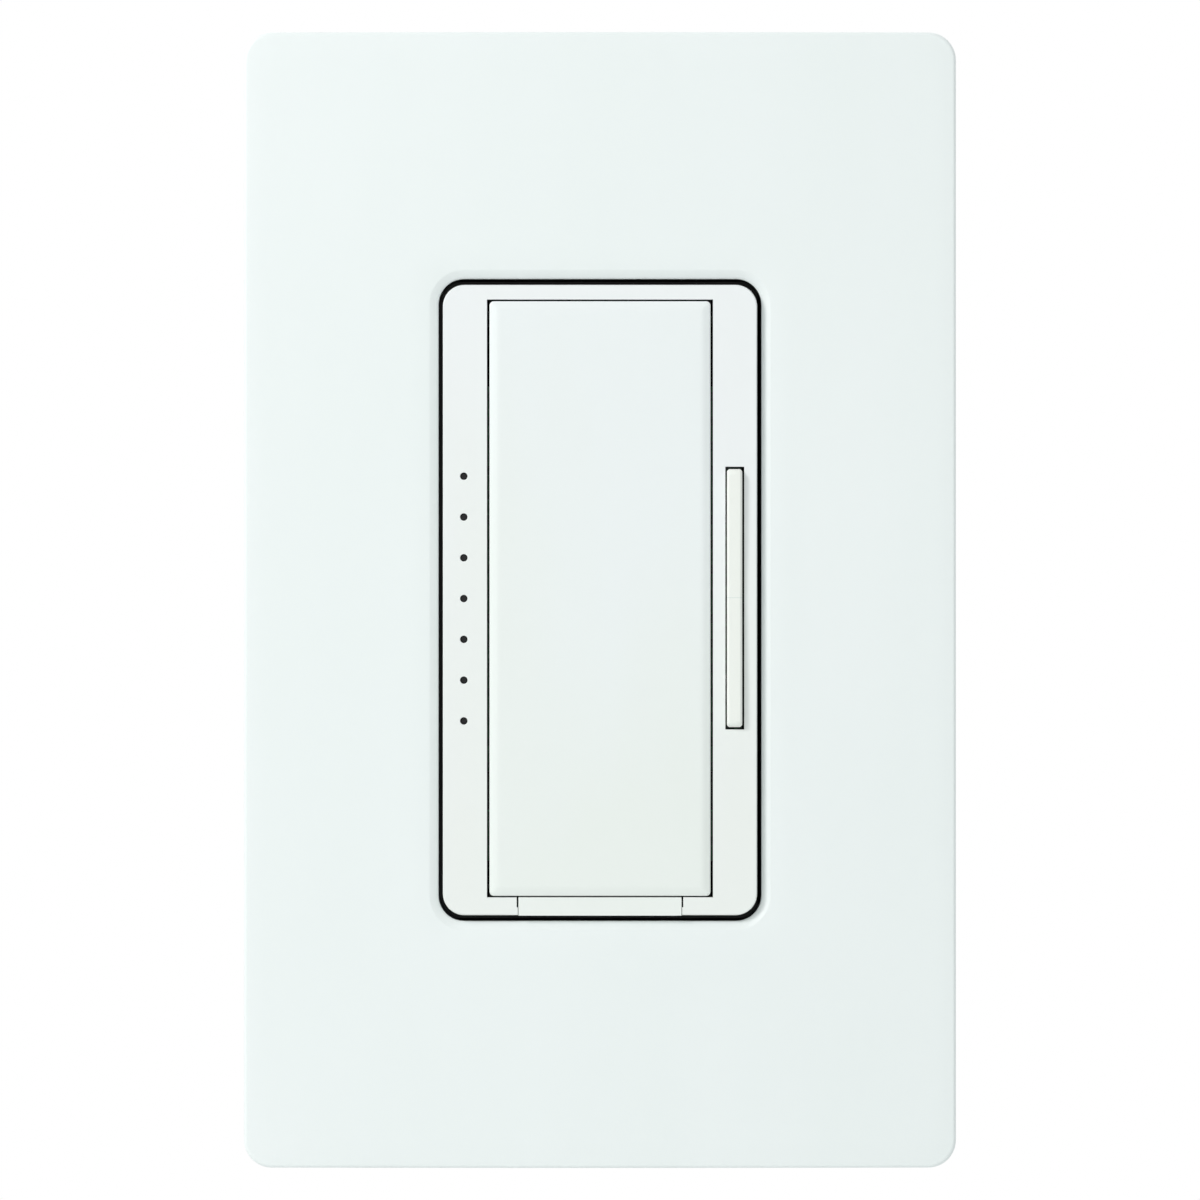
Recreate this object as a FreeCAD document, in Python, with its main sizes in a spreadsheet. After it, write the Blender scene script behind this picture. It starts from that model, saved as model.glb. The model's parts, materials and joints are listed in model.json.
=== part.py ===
import FreeCAD, Part
import math
import os
import re

import Sketcher
from FreeCAD import Placement, Rotation, Vector

# A one-gang wall dimmer with a screwless plate. X runs to the right, Y into the wall and Z up.
# The origin is the middle of the device on the wall's surface. Depths named front are measured
# from that surface towards the room, so a front of 5 lies at Y = -5.

doc = FreeCAD.newDocument("led_dimmer_switch")

# How far a cutting shape runs past the face that it cuts, and the slack in picking edges
PAST = 1
NEAR = 0.01

# Driving dimensions in millimetres
SIZES = {
    # wall plate cover
    "plate_width": 74.7,
    "plate_end_reach": 11.13,
    "plate_corner": 2.9,
    "plate_wall": 1.7,
    "plate_skin": 1.6,
    "plate_edge_round": 0.4,
    "crown": 0.6,
    "opening_side_gap": 0.47,
    "opening_end_gap": 0.65,
    "opening_corner": 2.65,
    "lip_width": 0.9,
    "lip_depth": 0.45,
    "collar_wall": 1.2,
    "snap_length": 9,
    "snap_reach": 1,
    "snap_thickness": 0.7,
    "side_snap_offset": 36,
    "notch_width": 9,
    "notch_depth": 1.4,
    "notch_cut": 1.2,
    # wall plate adapter
    "adapter_gap": 0.4,
    "adapter_thickness": 1.8,
    "adapter_window_gap": 0.45,
    "adapter_rim_width": 1.3,
    "rest_gap": 0.25,
    "screw_well_half": 4.7,
    # screws that hold the adapter
    "plate_screw_offset": 6.75,
    "plate_screw_radius": 1.7,
    "plate_screw_length": 8,
    "plate_screw_head_radius": 3.2,
    "plate_screw_head_height": 1.5,
    "driver_slot_width": 0.8,
    "driver_slot_depth": 0.8,
    "thread_play": 0.05,
    "shank_play": 0.25,
    # mounting strap
    "strap_thickness": 1.6,
    "strap_end_reach": 4.18,
    "snap_play": 0.45,
    "strap_corner": 2,
    "ear_width": 24,
    "box_screw_offset": 8.67,
    "box_hole_radius": 2.1,
    "strap_window_width": 17,
    "strap_window_gap": 0.4,
    "strap_window_top": 10,
    "score_gap": 0.8,
    "score_width": 0.8,
    "score_depth": 0.6,
    "ground_tab_gap": 0.8,
    "ground_tab_inset": 2,
    "ground_tab_width": 9,
    "ground_tab_length": 9.5,
    "ground_tab_thickness": 1.4,
    "ground_screw_depth": 5,
    "ground_screw_radius": 1.7,
    "ground_head_radius": 3.2,
    "ground_head_height": 1.5,
    "ground_tip": 0.5,
    # bezel
    "bezel_width": 32.9,
    "bezel_height": 66,
    "bezel_depth": 6.6,
    "bezel_corner": 2.25,
    "bezel_proud": 0.6,
    "bezel_edge": 0.12,
    "bezel_face_wall": 1.4,
    "bezel_side_wall": 1.2,
    "flange_reach": 0.55,
    "flange_thickness": 1.6,
    "side_strip": 4.62,
    "top_strip": 1.54,
    "low_strip": 1.87,
    "boss_half": 2.1,
    "boss_cap": 1.1,
    "screw_tip_gap": 0.3,
    "board_post_half": 1,
    "board_peg_half": 0.6,
    "board_post_inset": 1.4,
    "board_side_gap": 0.25,
    # paddle
    "paddle_side_gap": 0.25,
    "paddle_top_gap": 0.17,
    "paddle_low_gap": 0.14,
    "paddle_proud": 0.3,
    "paddle_bevel": 0.85,
    "paddle_skin": 1.4,
    "paddle_skirt": 1,
    "paddle_skirt_depth": 2.5,
    "paddle_rib_depth": 0.8,
    "paddle_rib_pitch": 14.5,
    "paddle_rib_middle": -1,
    "paddle_boss_length": 0.95,
    "paddle_boss_half": 1.5,
    "hinge_drop": 1.96,
    "hinge_back": 0.9,
    "trunnion_radius": 0.8,
    "trunnion_length": 1,
    "trunnion_root": 0.5,
    "pivot_play": 0.05,
    "cheek_half_height": 1.3,
    "ear_wall": 0.9,
    "ear_play": 0.02,
    "ear_reach": 1.65,
    "lug_reach": 0.93,
    "lug_height": 4,
    "lug_level": 20,
    "lug_thickness": 1.25,
    "stop_gap": 0.15,
    # rocker
    "slot_strip": 1.3,
    "slot_width": 1.97,
    "slot_length": 27.5,
    "rocker_near_gap": 0.16,
    "rocker_far_gap": 0.22,
    "rocker_end_gap": 0.25,
    "rocker_level": 0.2,
    "rocker_proud": 0.9,
    "rocker_valley": 0.22,
    "rocker_step": 0.6,
    "rocker_nose": 0.7,
    "rocker_edge": 0.2,
    "rocker_pivot_back": 1.2,
    "rocker_hub_drop": 0.85,
    "rocker_hub_half": 1.1,
    "rocker_pin_radius": 0.5,
    "rocker_pin_length": 3.4,
    "rocker_ear_gap": 0.1,
    "rocker_ear_wall": 0.8,
    "rocker_ear_half": 1.5,
    "rocker_leg_offset": 9.5,
    "rocker_leg_half": 0.8,
    # level lights
    "light_count": 7,
    "light_offset": 2.43,
    "light_pitch": 4.27,
    "light_level": 0.15,
    "light_hole_radius": 0.39,
    "light_bar_width": 1.6,
    "light_bar_overrun": 1.4,
    "light_chip_width": 1.2,
    "light_chip_height": 0.8,
    "light_gap": 0.3,
    # service tab
    "tab_width": 17.08,
    "tab_side_gap": 0.18,
    "tab_step_gap": 0.06,
    "tab_step_drop": 1.05,
    "tab_overhang": 0.05,
    "tab_back_play": 0.1,
    "stem_width": 8,
    "stem_height": 1.3,
    "stem_inset": 0.5,
    "stem_play": 0.2,
    "contact_front": 6,
    "bridge_thickness": 0.5,
    "bridge_height": 1.8,
    "bridge_inset": 0.7,
    "bridge_side_gap": 2.6,
    "contact_inset": 1.5,
    "contact_width": 2.2,
    "contact_button_half": 0.8,
    "contact_button_height": 0.5,
    # boards
    "board_gap": 0.8,
    "board_thickness": 1.2,
    "control_board_top_inset": 10.5,
    "control_board_low_inset": 5.5,
    "power_board_depth": 9,
    "power_board_thickness": 1.6,
    "power_board_side_gap": 0.3,
    "power_board_end_gap": 1,
    "power_tongue_gap": 0.4,
    # tap switch
    "tap_switch_level": 1,
    "tap_switch_size": 6,
    "tap_plunger_half": 1.6,
    "tap_plunger_rise": 0.4,
    "tap_plunger_depth": 1.2,
    "tap_well_gap": 0.5,
    "press_gap": 0.05,
    # snap domes
    "dome_shift": 0.7,
    "dome_radius": 1.5,
    "dome_top_radius": 0.8,
    "dome_height": 0.4,
    # controller and the header between the boards
    "controller_level": 14,
    "controller_size": 7,
    "controller_height": 1,
    "controller_standoff": 0.1,
    "controller_leads": 7,
    "controller_lead_pitch": 0.8,
    "controller_lead_width": 0.4,
    "controller_lead_thickness": 0.2,
    "controller_lead_reach": 1,
    "header_level": 4,
    "header_pins": 5,
    "header_pitch": 2.54,
    "header_body": 2.5,
    "header_pin_width": 0.64,
    # triac, the pad behind it and its clip
    "triac_pad_thickness": 0.25,
    "triac_pad_border": 1,
    "triac_drop": 3,
    "triac_width": 10,
    "triac_tab_thickness": 1.3,
    "triac_body_thickness": 4.4,
    "triac_length": 15.2,
    "triac_body_length": 9,
    "triac_lead_width": 0.8,
    "triac_lead_thickness": 0.5,
    "triac_lead_depth": 2.6,
    "triac_leads": 3,
    "triac_lead_pitch": 2.54,
    "triac_lead_drop": 2,
    "clip_thickness": 0.6,
    "clip_width": 6,
    "clip_gap": 1,
    "clip_hook": 2.5,
    "clip_overlap": 2,
    "clip_play": 0.1,
    # parts behind the power board
    "choke_level": 11.5,
    "choke_core_half": 2.8,
    "choke_winding_half": 5,
    "winding_corner": 1.8,
    "choke_core_end": 2,
    "choke_end_gap": 2.5,
    "film_gap": 5.3,
    "film_width": 18,
    "film_height": 7,
    "film_depth": 12,
    "filter_side_gap": 4.9,
    "filter_end_gap": 0.6,
    "filter_radius": 5,
    "filter_head_gap": 3.4,
    "absorber_side_gap": 2.8,
    "absorber_end_gap": 3.6,
    "absorber_radius": 5,
    "absorber_thickness": 4,
    "absorber_lead": 0.7,
    "absorber_standoff": 1.2,
    # back cover and its screws
    "cover_side_reach": 7.6,
    "cover_end_reach": 1.4,
    "cover_depth": 31,
    "cover_corner": 2,
    "skirt_corner": 1.2,
    "cover_wall": 1.6,
    "cover_floor": 2,
    "cover_edge": 0.8,
    "step_depth": 6,
    "step_margin": 3.2,
    "step_floor": 1.8,
    "case_screw_side_inset": 2.05,
    "case_screw_end_inset": 2.6,
    "case_screw_radius": 1.25,
    "case_head_radius": 2.5,
    "case_head_height": 1.7,
    "case_boss_half": 2.6,
    "support_rib": 1.2,
    "support_overlap": 2,
    # terminals in the sides of the back cover
    "terminal_level": 12,
    "terminal_height": 12,
    "terminal_near": 8,
    "terminal_far": 19,
    "terminal_recess": 3.2,
    "terminal_floor": 1.5,
    "terminal_plate_thickness": 0.8,
    "terminal_plate_inset": 0.8,
    "terminal_tongue_width": 4,
    "terminal_tongue_overlap": 3.5,
    "terminal_screw_depth": 13.8,
    "terminal_screw_radius": 1.8,
    "terminal_screw_tip": 2.8,
    "terminal_head_radius": 3.4,
    "terminal_head_height": 1.8,
    "terminal_head_gap": 0.2,
}

# Places that follow from the driving dimensions
PLACES = {
    "bezel_side": "bezel_width / 2",
    "bezel_end": "bezel_height / 2",
    "bezel_face": "strap_thickness + bezel_depth",
    "bezel_wall_back": "bezel_face - bezel_face_wall",
    "bezel_inner_side": "bezel_side - bezel_side_wall",
    "bezel_inner_end": "bezel_end - bezel_side_wall",
    "flange_front": "strap_thickness + flange_thickness",
    "flange_width": "bezel_width + 2 * flange_reach",
    "flange_height": "bezel_height + 2 * flange_reach",
    "aperture_side": "bezel_side - side_strip",
    "aperture_top": "bezel_end - top_strip",
    "aperture_low": "bezel_end - low_strip",
    "case_screw_column": "bezel_side - case_screw_side_inset",
    "case_screw_level": "bezel_end - case_screw_end_inset",
    "case_screw_reach": "bezel_wall_back - boss_cap - screw_tip_gap",
    "opening_width": "bezel_width + 2 * opening_side_gap",
    "opening_height": "bezel_height + 2 * opening_end_gap",
    "box_screw_level": "bezel_end + box_screw_offset",
    "plate_screw_level": "box_screw_level + plate_screw_offset",
    "plate_height": "2 * (plate_screw_level + plate_end_reach)",
    "plate_depth": "bezel_face - bezel_proud",
    "plate_ceiling": "plate_depth - crown - plate_skin",
    "crown_radius": "plate_width ^ 2 / (8 * crown) + crown / 2",
    "plate_inner_width": "plate_width - 2 * plate_wall",
    "plate_inner_height": "plate_height - 2 * plate_wall",
    "adapter_width": "plate_inner_width - 2 * adapter_gap",
    "adapter_height": "plate_inner_height - 2 * adapter_gap",
    "adapter_front": "strap_thickness + adapter_thickness",
    "adapter_rim_front": "plate_ceiling - rest_gap",
    "strap_panel_side": "plate_inner_width / 2 - snap_reach - snap_play",
    "strap_panel_end": "ground_tab_inner + ground_tab_thickness",
    "strap_ear_end": "plate_screw_level + strap_end_reach",
    "strap_window_low": "stem_low + strap_window_gap",
    "ground_tab_inner": "cover_end + ground_tab_gap",
    "ground_tab_left": "cover_side - ground_tab_inset",
    "ground_column": "-ground_tab_left + ground_tab_width / 2",
    "control_board_side": "bezel_inner_side - board_side_gap",
    "control_board_top": "bezel_end - control_board_top_inset",
    "control_board_low": "bezel_end - control_board_low_inset",
    "control_board_back": "strap_thickness + board_gap",
    "control_board_front": "control_board_back + board_thickness",
    "board_post_column": "control_board_side - board_post_inset",
    "paddle_face": "bezel_face + paddle_proud",
    "paddle_side": "aperture_side - paddle_side_gap",
    "paddle_top": "aperture_top - paddle_top_gap",
    "paddle_low": "-aperture_low + paddle_low_gap",
    "paddle_skin_back": "paddle_face - paddle_skin",
    "paddle_skirt_back": "paddle_face - paddle_skirt_depth",
    "paddle_boss_tip": "paddle_skin_back - paddle_boss_length",
    "hinge_level": "aperture_top - hinge_drop",
    "hinge_front": "bezel_wall_back - hinge_back",
    "lug_front": "bezel_wall_back - stop_gap",
    "tap_plunger_front": "paddle_boss_tip - press_gap",
    "tap_plunger_back": "tap_plunger_front - tap_plunger_depth",
    "tap_switch_front": "tap_plunger_front - tap_plunger_rise",
    "slot_near": "aperture_side + slot_strip",
    "rocker_width": "slot_width - rocker_near_gap - rocker_far_gap",
    "rocker_middle": "slot_near + rocker_near_gap + rocker_width / 2",
    "rocker_half_length": "slot_length / 2 - rocker_end_gap",
    "rocker_face": "bezel_face + rocker_proud",
    "rocker_back": "bezel_wall_back - rocker_step",
    "rocker_pivot_front": "bezel_wall_back - rocker_pivot_back",
    "rocker_hub_back": "rocker_pivot_front - rocker_hub_drop",
    "rocker_leg_tip": "control_board_front + dome_height + press_gap",
    "dome_column": "rocker_middle - dome_shift",
    "light_column": "aperture_side + light_offset",
    "light_bar_back": "control_board_front + light_chip_height + light_gap",
    "tab_side": "tab_width / 2",
    "tab_top": "-aperture_low",
    "tab_low": "-bezel_end - tab_overhang",
    "tab_back": "flange_front + tab_back_play",
    "stem_low": "bezel_end - stem_inset",
    "stem_top": "stem_low - stem_height",
    "bridge_low": "bezel_end - bridge_inset",
    "bridge_top": "bridge_low - bridge_height",
    "bridge_side": "step_side - cover_wall - bridge_side_gap",
    "contact_column": "bridge_side - contact_inset",
    "contact_back": "contact_front + bridge_thickness",
    "cover_side": "case_screw_column + cover_side_reach",
    "cover_end": "bezel_end + cover_end_reach",
    "inner_side": "cover_side - cover_wall",
    "inner_end": "cover_end - cover_wall",
    "step_side": "case_screw_column - step_margin",
    "step_level": "case_screw_level - step_margin",
    "terminal_outer": "cover_side - terminal_recess",
    "terminal_inner": "terminal_outer - terminal_floor",
    "terminal_screw_end": "terminal_inner - terminal_screw_tip",
    "power_board_back": "power_board_depth + power_board_thickness",
    "power_board_side": "terminal_inner - power_board_side_gap",
    "power_board_end": "step_level - cover_wall - power_board_end_gap",
    "power_tongue_side": "step_side - cover_wall - power_tongue_gap",
    "power_tongue_low": "inner_end - power_tongue_gap",
    "triac_top": "bezel_end - triac_drop",
    "triac_low": "triac_top - triac_length",
    "triac_back": "triac_pad_thickness + triac_body_thickness",
    "clip_low": "triac_top + clip_gap",
    "clip_top": "clip_low + clip_thickness",
    "choke_side": "terminal_screw_end - choke_end_gap",
    "absorber_column": "terminal_inner - absorber_radius - absorber_side_gap",
    "absorber_level": "power_board_end - absorber_thickness / 2 - absorber_end_gap",
    "film_top": "absorber_level - absorber_thickness / 2 - film_gap - film_height",
    "filter_column": "inner_side - filter_radius - filter_side_gap",
    "filter_level": "power_board_end - filter_radius - filter_end_gap",
    "filter_back": "cover_depth - cover_floor - filter_head_gap",
}

sheet = doc.addObject("Spreadsheet::Sheet", "Sizes")
for row, (alias, number) in enumerate(SIZES.items(), start=1):
    sheet.set(f"A{row}", str(number))
    sheet.setAlias(f"A{row}", alias)
doc.recompute()

NODES = []


def formula(text):
    """Write a formula of size names so that every name is read from the sheet."""

    def read(match):
        word = match.group(0)
        if word in PLACES:
            return "(" + formula(PLACES[word]) + ")"
        if word in SIZES:
            return "Sizes." + word
        return word

    return re.sub(r"[a-z][a-z_]+", read, str(text))


def value(text):
    """The present value of a formula, in millimetres or degrees."""
    return float(sheet.evalExpression(formula(text)))


def bind(thing, prop, text):
    """Tie one property to the sheet."""
    thing.setExpression(prop, formula(text))


def finish(thing, label):
    """Name a sub-part and list it for export."""
    thing.Label = label
    NODES.append(thing)
    return thing


# Formulas of places that come in pairs, rows and corners


def centred(size):
    """The two ends of a size that lies evenly about zero."""
    return (f"-({size}) / 2", f"({size}) / 2")


def around(middle, half):
    """The two ends of a range about a middle."""
    return (f"{middle} - {half}", f"{middle} + {half}")


def either_side(reach):
    """The two ends of a range that reaches as far to both sides of zero."""
    return (f"-({reach})", f"({reach})")


def mirrored_range(side, near, away):
    """A range from near to away on the side whose sign is given."""
    return sorted((f"{side}({near})", f"{side}({away})"), key=value)


def row_of(count, middle, pitch):
    """Evenly spaced places about a middle."""
    number = int(value(count))
    return [f"{middle} + {i - (number - 1) / 2} * {pitch}" for i in range(number)]


def four_corners(column, level):
    return [(f"{side_x}({column})", f"{side_z}({level})") for side_x in ("-", "") for side_z in ("-", "")]


def case_screw_places():
    """The two opposite corners where the case is screwed together."""
    corners = four_corners("case_screw_column", "case_screw_level")
    return [corners[1], corners[2]]


def mirrored_outline(quarter):
    """The closed outline whose upper right quarter is given, from the top round to the side."""
    points = []
    for side_x, side_z, order in (("", "", 1), ("", "-", -1), ("-", "-", 1), ("-", "", -1)):
        corners = [(f"{side_x}({x})", f"{side_z}({z})") for x, z in quarter]
        points.extend(corners[::order])
    return points


# Primitives bound to the sheet


def place(thing, x, front, z):
    bind(thing, "Placement.Base.x", x)
    bind(thing, "Placement.Base.y", f"-({front})")
    bind(thing, "Placement.Base.z", z)


def block(x, front, z):
    """A box between two values along X, two depths in front of the wall, and two along Z."""
    box = doc.addObject("Part::Box", "Block")
    place(box, x[0], front[1], z[0])
    bind(box, "Length", f"({x[1]}) - ({x[0]})")
    bind(box, "Width", f"({front[1]}) - ({front[0]})")
    bind(box, "Height", f"({z[1]}) - ({z[0]})")
    return box


def stud(x, z, radius, front):
    """A cylinder whose axis points to the room, between two depths in front of the wall."""
    rod = doc.addObject("Part::Cylinder", "Stud")
    rod.Placement = Placement(Vector(), Rotation(Vector(1, 0, 0), 90))
    place(rod, x, front[0], z)
    bind(rod, "Radius", radius)
    bind(rod, "Height", f"({front[1]}) - ({front[0]})")
    return rod


def shaft(x, front, z, radius):
    """A cylinder along X between two values."""
    rod = doc.addObject("Part::Cylinder", "Shaft")
    rod.Placement = Placement(Vector(), Rotation(Vector(0, 1, 0), 90))
    place(rod, x[0], front, z)
    bind(rod, "Radius", radius)
    bind(rod, "Height", f"({x[1]}) - ({x[0]})")
    return rod


def post(x, front, z, radius):
    """An upright cylinder between two values along Z."""
    rod = doc.addObject("Part::Cylinder", "Post")
    place(rod, x, front, z[0])
    bind(rod, "Radius", radius)
    bind(rod, "Height", f"({z[1]}) - ({z[0]})")
    return rod


def fuse(*pieces):
    joined = doc.addObject("Part::MultiFuse", "Fused")
    joined.Shapes = list(pieces)
    joined.Refine = True
    return joined


def cut(base, *tools):
    result = doc.addObject("Part::Cut", "Cut")
    result.Base = base
    result.Tool = tools[0] if len(tools) == 1 else fuse(*tools)
    result.Refine = True
    return result


def group(pieces):
    together = doc.addObject("Part::Compound", "Group")
    together.Links = list(pieces)
    return together


# Sketches and features of a body


def new_body(name):
    return doc.addObject("PartDesign::Body", name)


def sketch_on(body, role, offset):
    """A sketch on one of the body's planes. On XZ_Plane the offset is a depth in front of the wall."""
    plane = next(item for item in body.Origin.OriginFeatures if item.Role == role)
    sketch = body.newObject("Sketcher::SketchObject", "Sketch")
    sketch.AttachmentSupport = [(plane, "")]
    sketch.MapMode = "FlatFace"
    bind(sketch, "AttachmentOffset.Base.z", offset)
    return sketch


def hold(sketch, kind, targets, text):
    """A dimension of the sketch, tied to the sheet."""
    index = sketch.addConstraint(Sketcher.Constraint(kind, *targets, value(text)))
    bind(sketch, f"Constraints[{index}]", text)


def draw_outline(sketch, points):
    """A closed run of straight lines through points given as pairs of formulas."""
    first = sketch.GeometryCount
    corners = [Vector(value(x), value(y), 0) for x, y in points]
    count = len(corners)
    for i in range(count):
        sketch.addGeometry(Part.LineSegment(corners[i], corners[(i + 1) % count]), False)
    for i in range(count):
        following = first + (i + 1) % count
        sketch.addConstraint(Sketcher.Constraint("Coincident", first + i, 2, following, 1))
    for i, (x, y) in enumerate(points):
        hold(sketch, "DistanceX", (-1, 1, first + i, 1), x)
        hold(sketch, "DistanceY", (-1, 1, first + i, 1), y)


def draw_box(sketch, x, y):
    draw_outline(sketch, [(x[0], y[0]), (x[1], y[0]), (x[1], y[1]), (x[0], y[1])])


def draw_circle(sketch, x, y, radius):
    first = sketch.GeometryCount
    middle = Vector(value(x), value(y), 0)
    sketch.addGeometry(Part.Circle(middle, Vector(0, 0, 1), value(radius)), False)
    hold(sketch, "Radius", (first,), radius)
    hold(sketch, "DistanceX", (-1, 1, first, 3), x)
    hold(sketch, "DistanceY", (-1, 1, first, 3), y)


def draw_rounded_box(sketch, x, y, radius):
    """A rectangle with four equal corner arcs."""
    first = sketch.GeometryCount
    left, right = value(x[0]), value(x[1])
    low, top = value(y[0]), value(y[1])
    r = value(radius)
    sides = [
        (Vector(left + r, low, 0), Vector(right - r, low, 0)),
        (Vector(right, low + r, 0), Vector(right, top - r, 0)),
        (Vector(right - r, top, 0), Vector(left + r, top, 0)),
        (Vector(left, top - r, 0), Vector(left, low + r, 0)),
    ]
    middles = [
        Vector(right - r, low + r, 0),
        Vector(right - r, top - r, 0),
        Vector(left + r, top - r, 0),
        Vector(left + r, low + r, 0),
    ]
    for start, end in sides:
        sketch.addGeometry(Part.LineSegment(start, end), False)
    for quarter, middle in enumerate(middles):
        circle = Part.Circle(middle, Vector(0, 0, 1), r)
        start = math.radians(90 * (quarter - 1))
        sketch.addGeometry(Part.ArcOfCircle(circle, start, start + math.pi / 2), False)
    for i in range(4):
        arc = first + 4 + i
        sketch.addConstraint(Sketcher.Constraint("Tangent", first + i, 2, arc, 1))
        sketch.addConstraint(Sketcher.Constraint("Tangent", arc, 2, first + (i + 1) % 4, 1))
    for i in (0, 2):
        sketch.addConstraint(Sketcher.Constraint("Horizontal", first + i))
        sketch.addConstraint(Sketcher.Constraint("Vertical", first + i + 1))
    for i in range(1, 4):
        sketch.addConstraint(Sketcher.Constraint("Equal", first + 4, first + 4 + i))
    hold(sketch, "Radius", (first + 4,), radius)
    hold(sketch, "DistanceX", (-1, 1, first + 3, 1), x[0])
    hold(sketch, "DistanceX", (-1, 1, first + 1, 1), x[1])
    hold(sketch, "DistanceY", (-1, 1, first, 1), y[0])
    hold(sketch, "DistanceY", (-1, 1, first + 2, 1), y[1])


def draw_crown(sketch):
    """What lies above the plate's crown: an arc across the plate, closed by three lines above it."""
    reach = f"plate_width / 2 + {PAST}"
    far = f"-plate_depth - {PAST}"
    arc_middle = "crown_radius - plate_depth"
    radius, half, middle = value("crown_radius"), value(reach), value(arc_middle)
    swing = math.asin(half / radius)
    circle = Part.Circle(Vector(0, middle, 0), Vector(0, 0, 1), radius)
    sketch.addGeometry(Part.ArcOfCircle(circle, -math.pi / 2 - swing, -math.pi / 2 + swing), False)
    arc_end = middle - radius * math.cos(swing)
    corners = [
        Vector(half, arc_end, 0),
        Vector(half, value(far), 0),
        Vector(-half, value(far), 0),
        Vector(-half, arc_end, 0),
    ]
    for start, end in zip(corners, corners[1:]):
        sketch.addGeometry(Part.LineSegment(start, end), False)
    for i in range(4):
        sketch.addConstraint(Sketcher.Constraint("Coincident", i, 2, (i + 1) % 4, 1))
    sketch.addConstraint(Sketcher.Constraint("PointOnObject", 0, 3, -2))
    sketch.addConstraint(Sketcher.Constraint("Vertical", 1))
    sketch.addConstraint(Sketcher.Constraint("Horizontal", 2))
    sketch.addConstraint(Sketcher.Constraint("Vertical", 3))
    hold(sketch, "Radius", (0,), "crown_radius")
    hold(sketch, "DistanceY", (-1, 1, 0, 3), arc_middle)
    hold(sketch, "DistanceX", (-1, 1, 1, 1), reach)
    hold(sketch, "DistanceX", (-1, 1, 3, 2), f"-({reach})")
    hold(sketch, "DistanceY", (-1, 1, 2, 1), far)


def pad(body, sketch, length):
    feature = body.newObject("PartDesign::Pad", "Pad")
    feature.Profile = sketch
    bind(feature, "Length", length)
    return feature


def pad_both_ways(body, sketch, length):
    feature = pad(body, sketch, length)
    feature.Midplane = True
    return feature


def pocket(body, sketch, depth, towards_normal=False):
    feature = body.newObject("PartDesign::Pocket", "Pocket")
    feature.Profile = sketch
    feature.Reversed = towards_normal
    bind(feature, "Length", depth)
    return feature


def pick_edges(feature, wanted):
    """The names of the feature's edges that a test on the edge accepts."""
    doc.recompute()
    edges = feature.Shape.Edges
    return [f"Edge{i + 1}" for i, edge in enumerate(edges) if wanted(edge)]


def round_edges(body, feature, wanted, radius):
    rounded = body.newObject("PartDesign::Fillet", "Fillet")
    rounded.Base = (feature, pick_edges(feature, wanted))
    bind(rounded, "Radius", radius)
    return rounded


def bevel_edges(body, feature, wanted, first, second):
    """A bevel with its own width on each of the two faces."""
    bevel = body.newObject("PartDesign::Chamfer", "Chamfer")
    bevel.Base = (feature, pick_edges(feature, wanted))
    bevel.ChamferType = "Two distances"
    bind(bevel, "Size", first)
    bind(bevel, "Size2", second)
    return bevel


def lies_at_front(edge, front):
    """Whether an edge lies in the plane at this depth in front of the wall."""
    box = edge.BoundBox
    depth = -value(front)
    return abs(box.YMin - depth) < NEAR and abs(box.YMax - depth) < NEAR


def lies_within(edge, half_x, half_z):
    """Whether an edge stays inside a rectangle about the middle."""
    box = edge.BoundBox
    across = max(abs(box.XMin), abs(box.XMax))
    along = max(abs(box.ZMin), abs(box.ZMax))
    return across < value(half_x) + NEAR and along < value(half_z) + NEAR


def stands_at(edge, half_x, half_z, length):
    """Whether an edge of this length or more stands on a corner of a rectangle about the middle."""
    box = edge.BoundBox
    at_x = abs(abs(box.Center.x) - value(half_x)) < NEAR
    at_z = abs(abs(box.Center.z) - value(half_z)) < NEAR
    return box.YLength > value(length) - NEAR and at_x and at_z


# Wall plate cover: a crowned shell with the rounded opening, snap ledges and a pry notch


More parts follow.
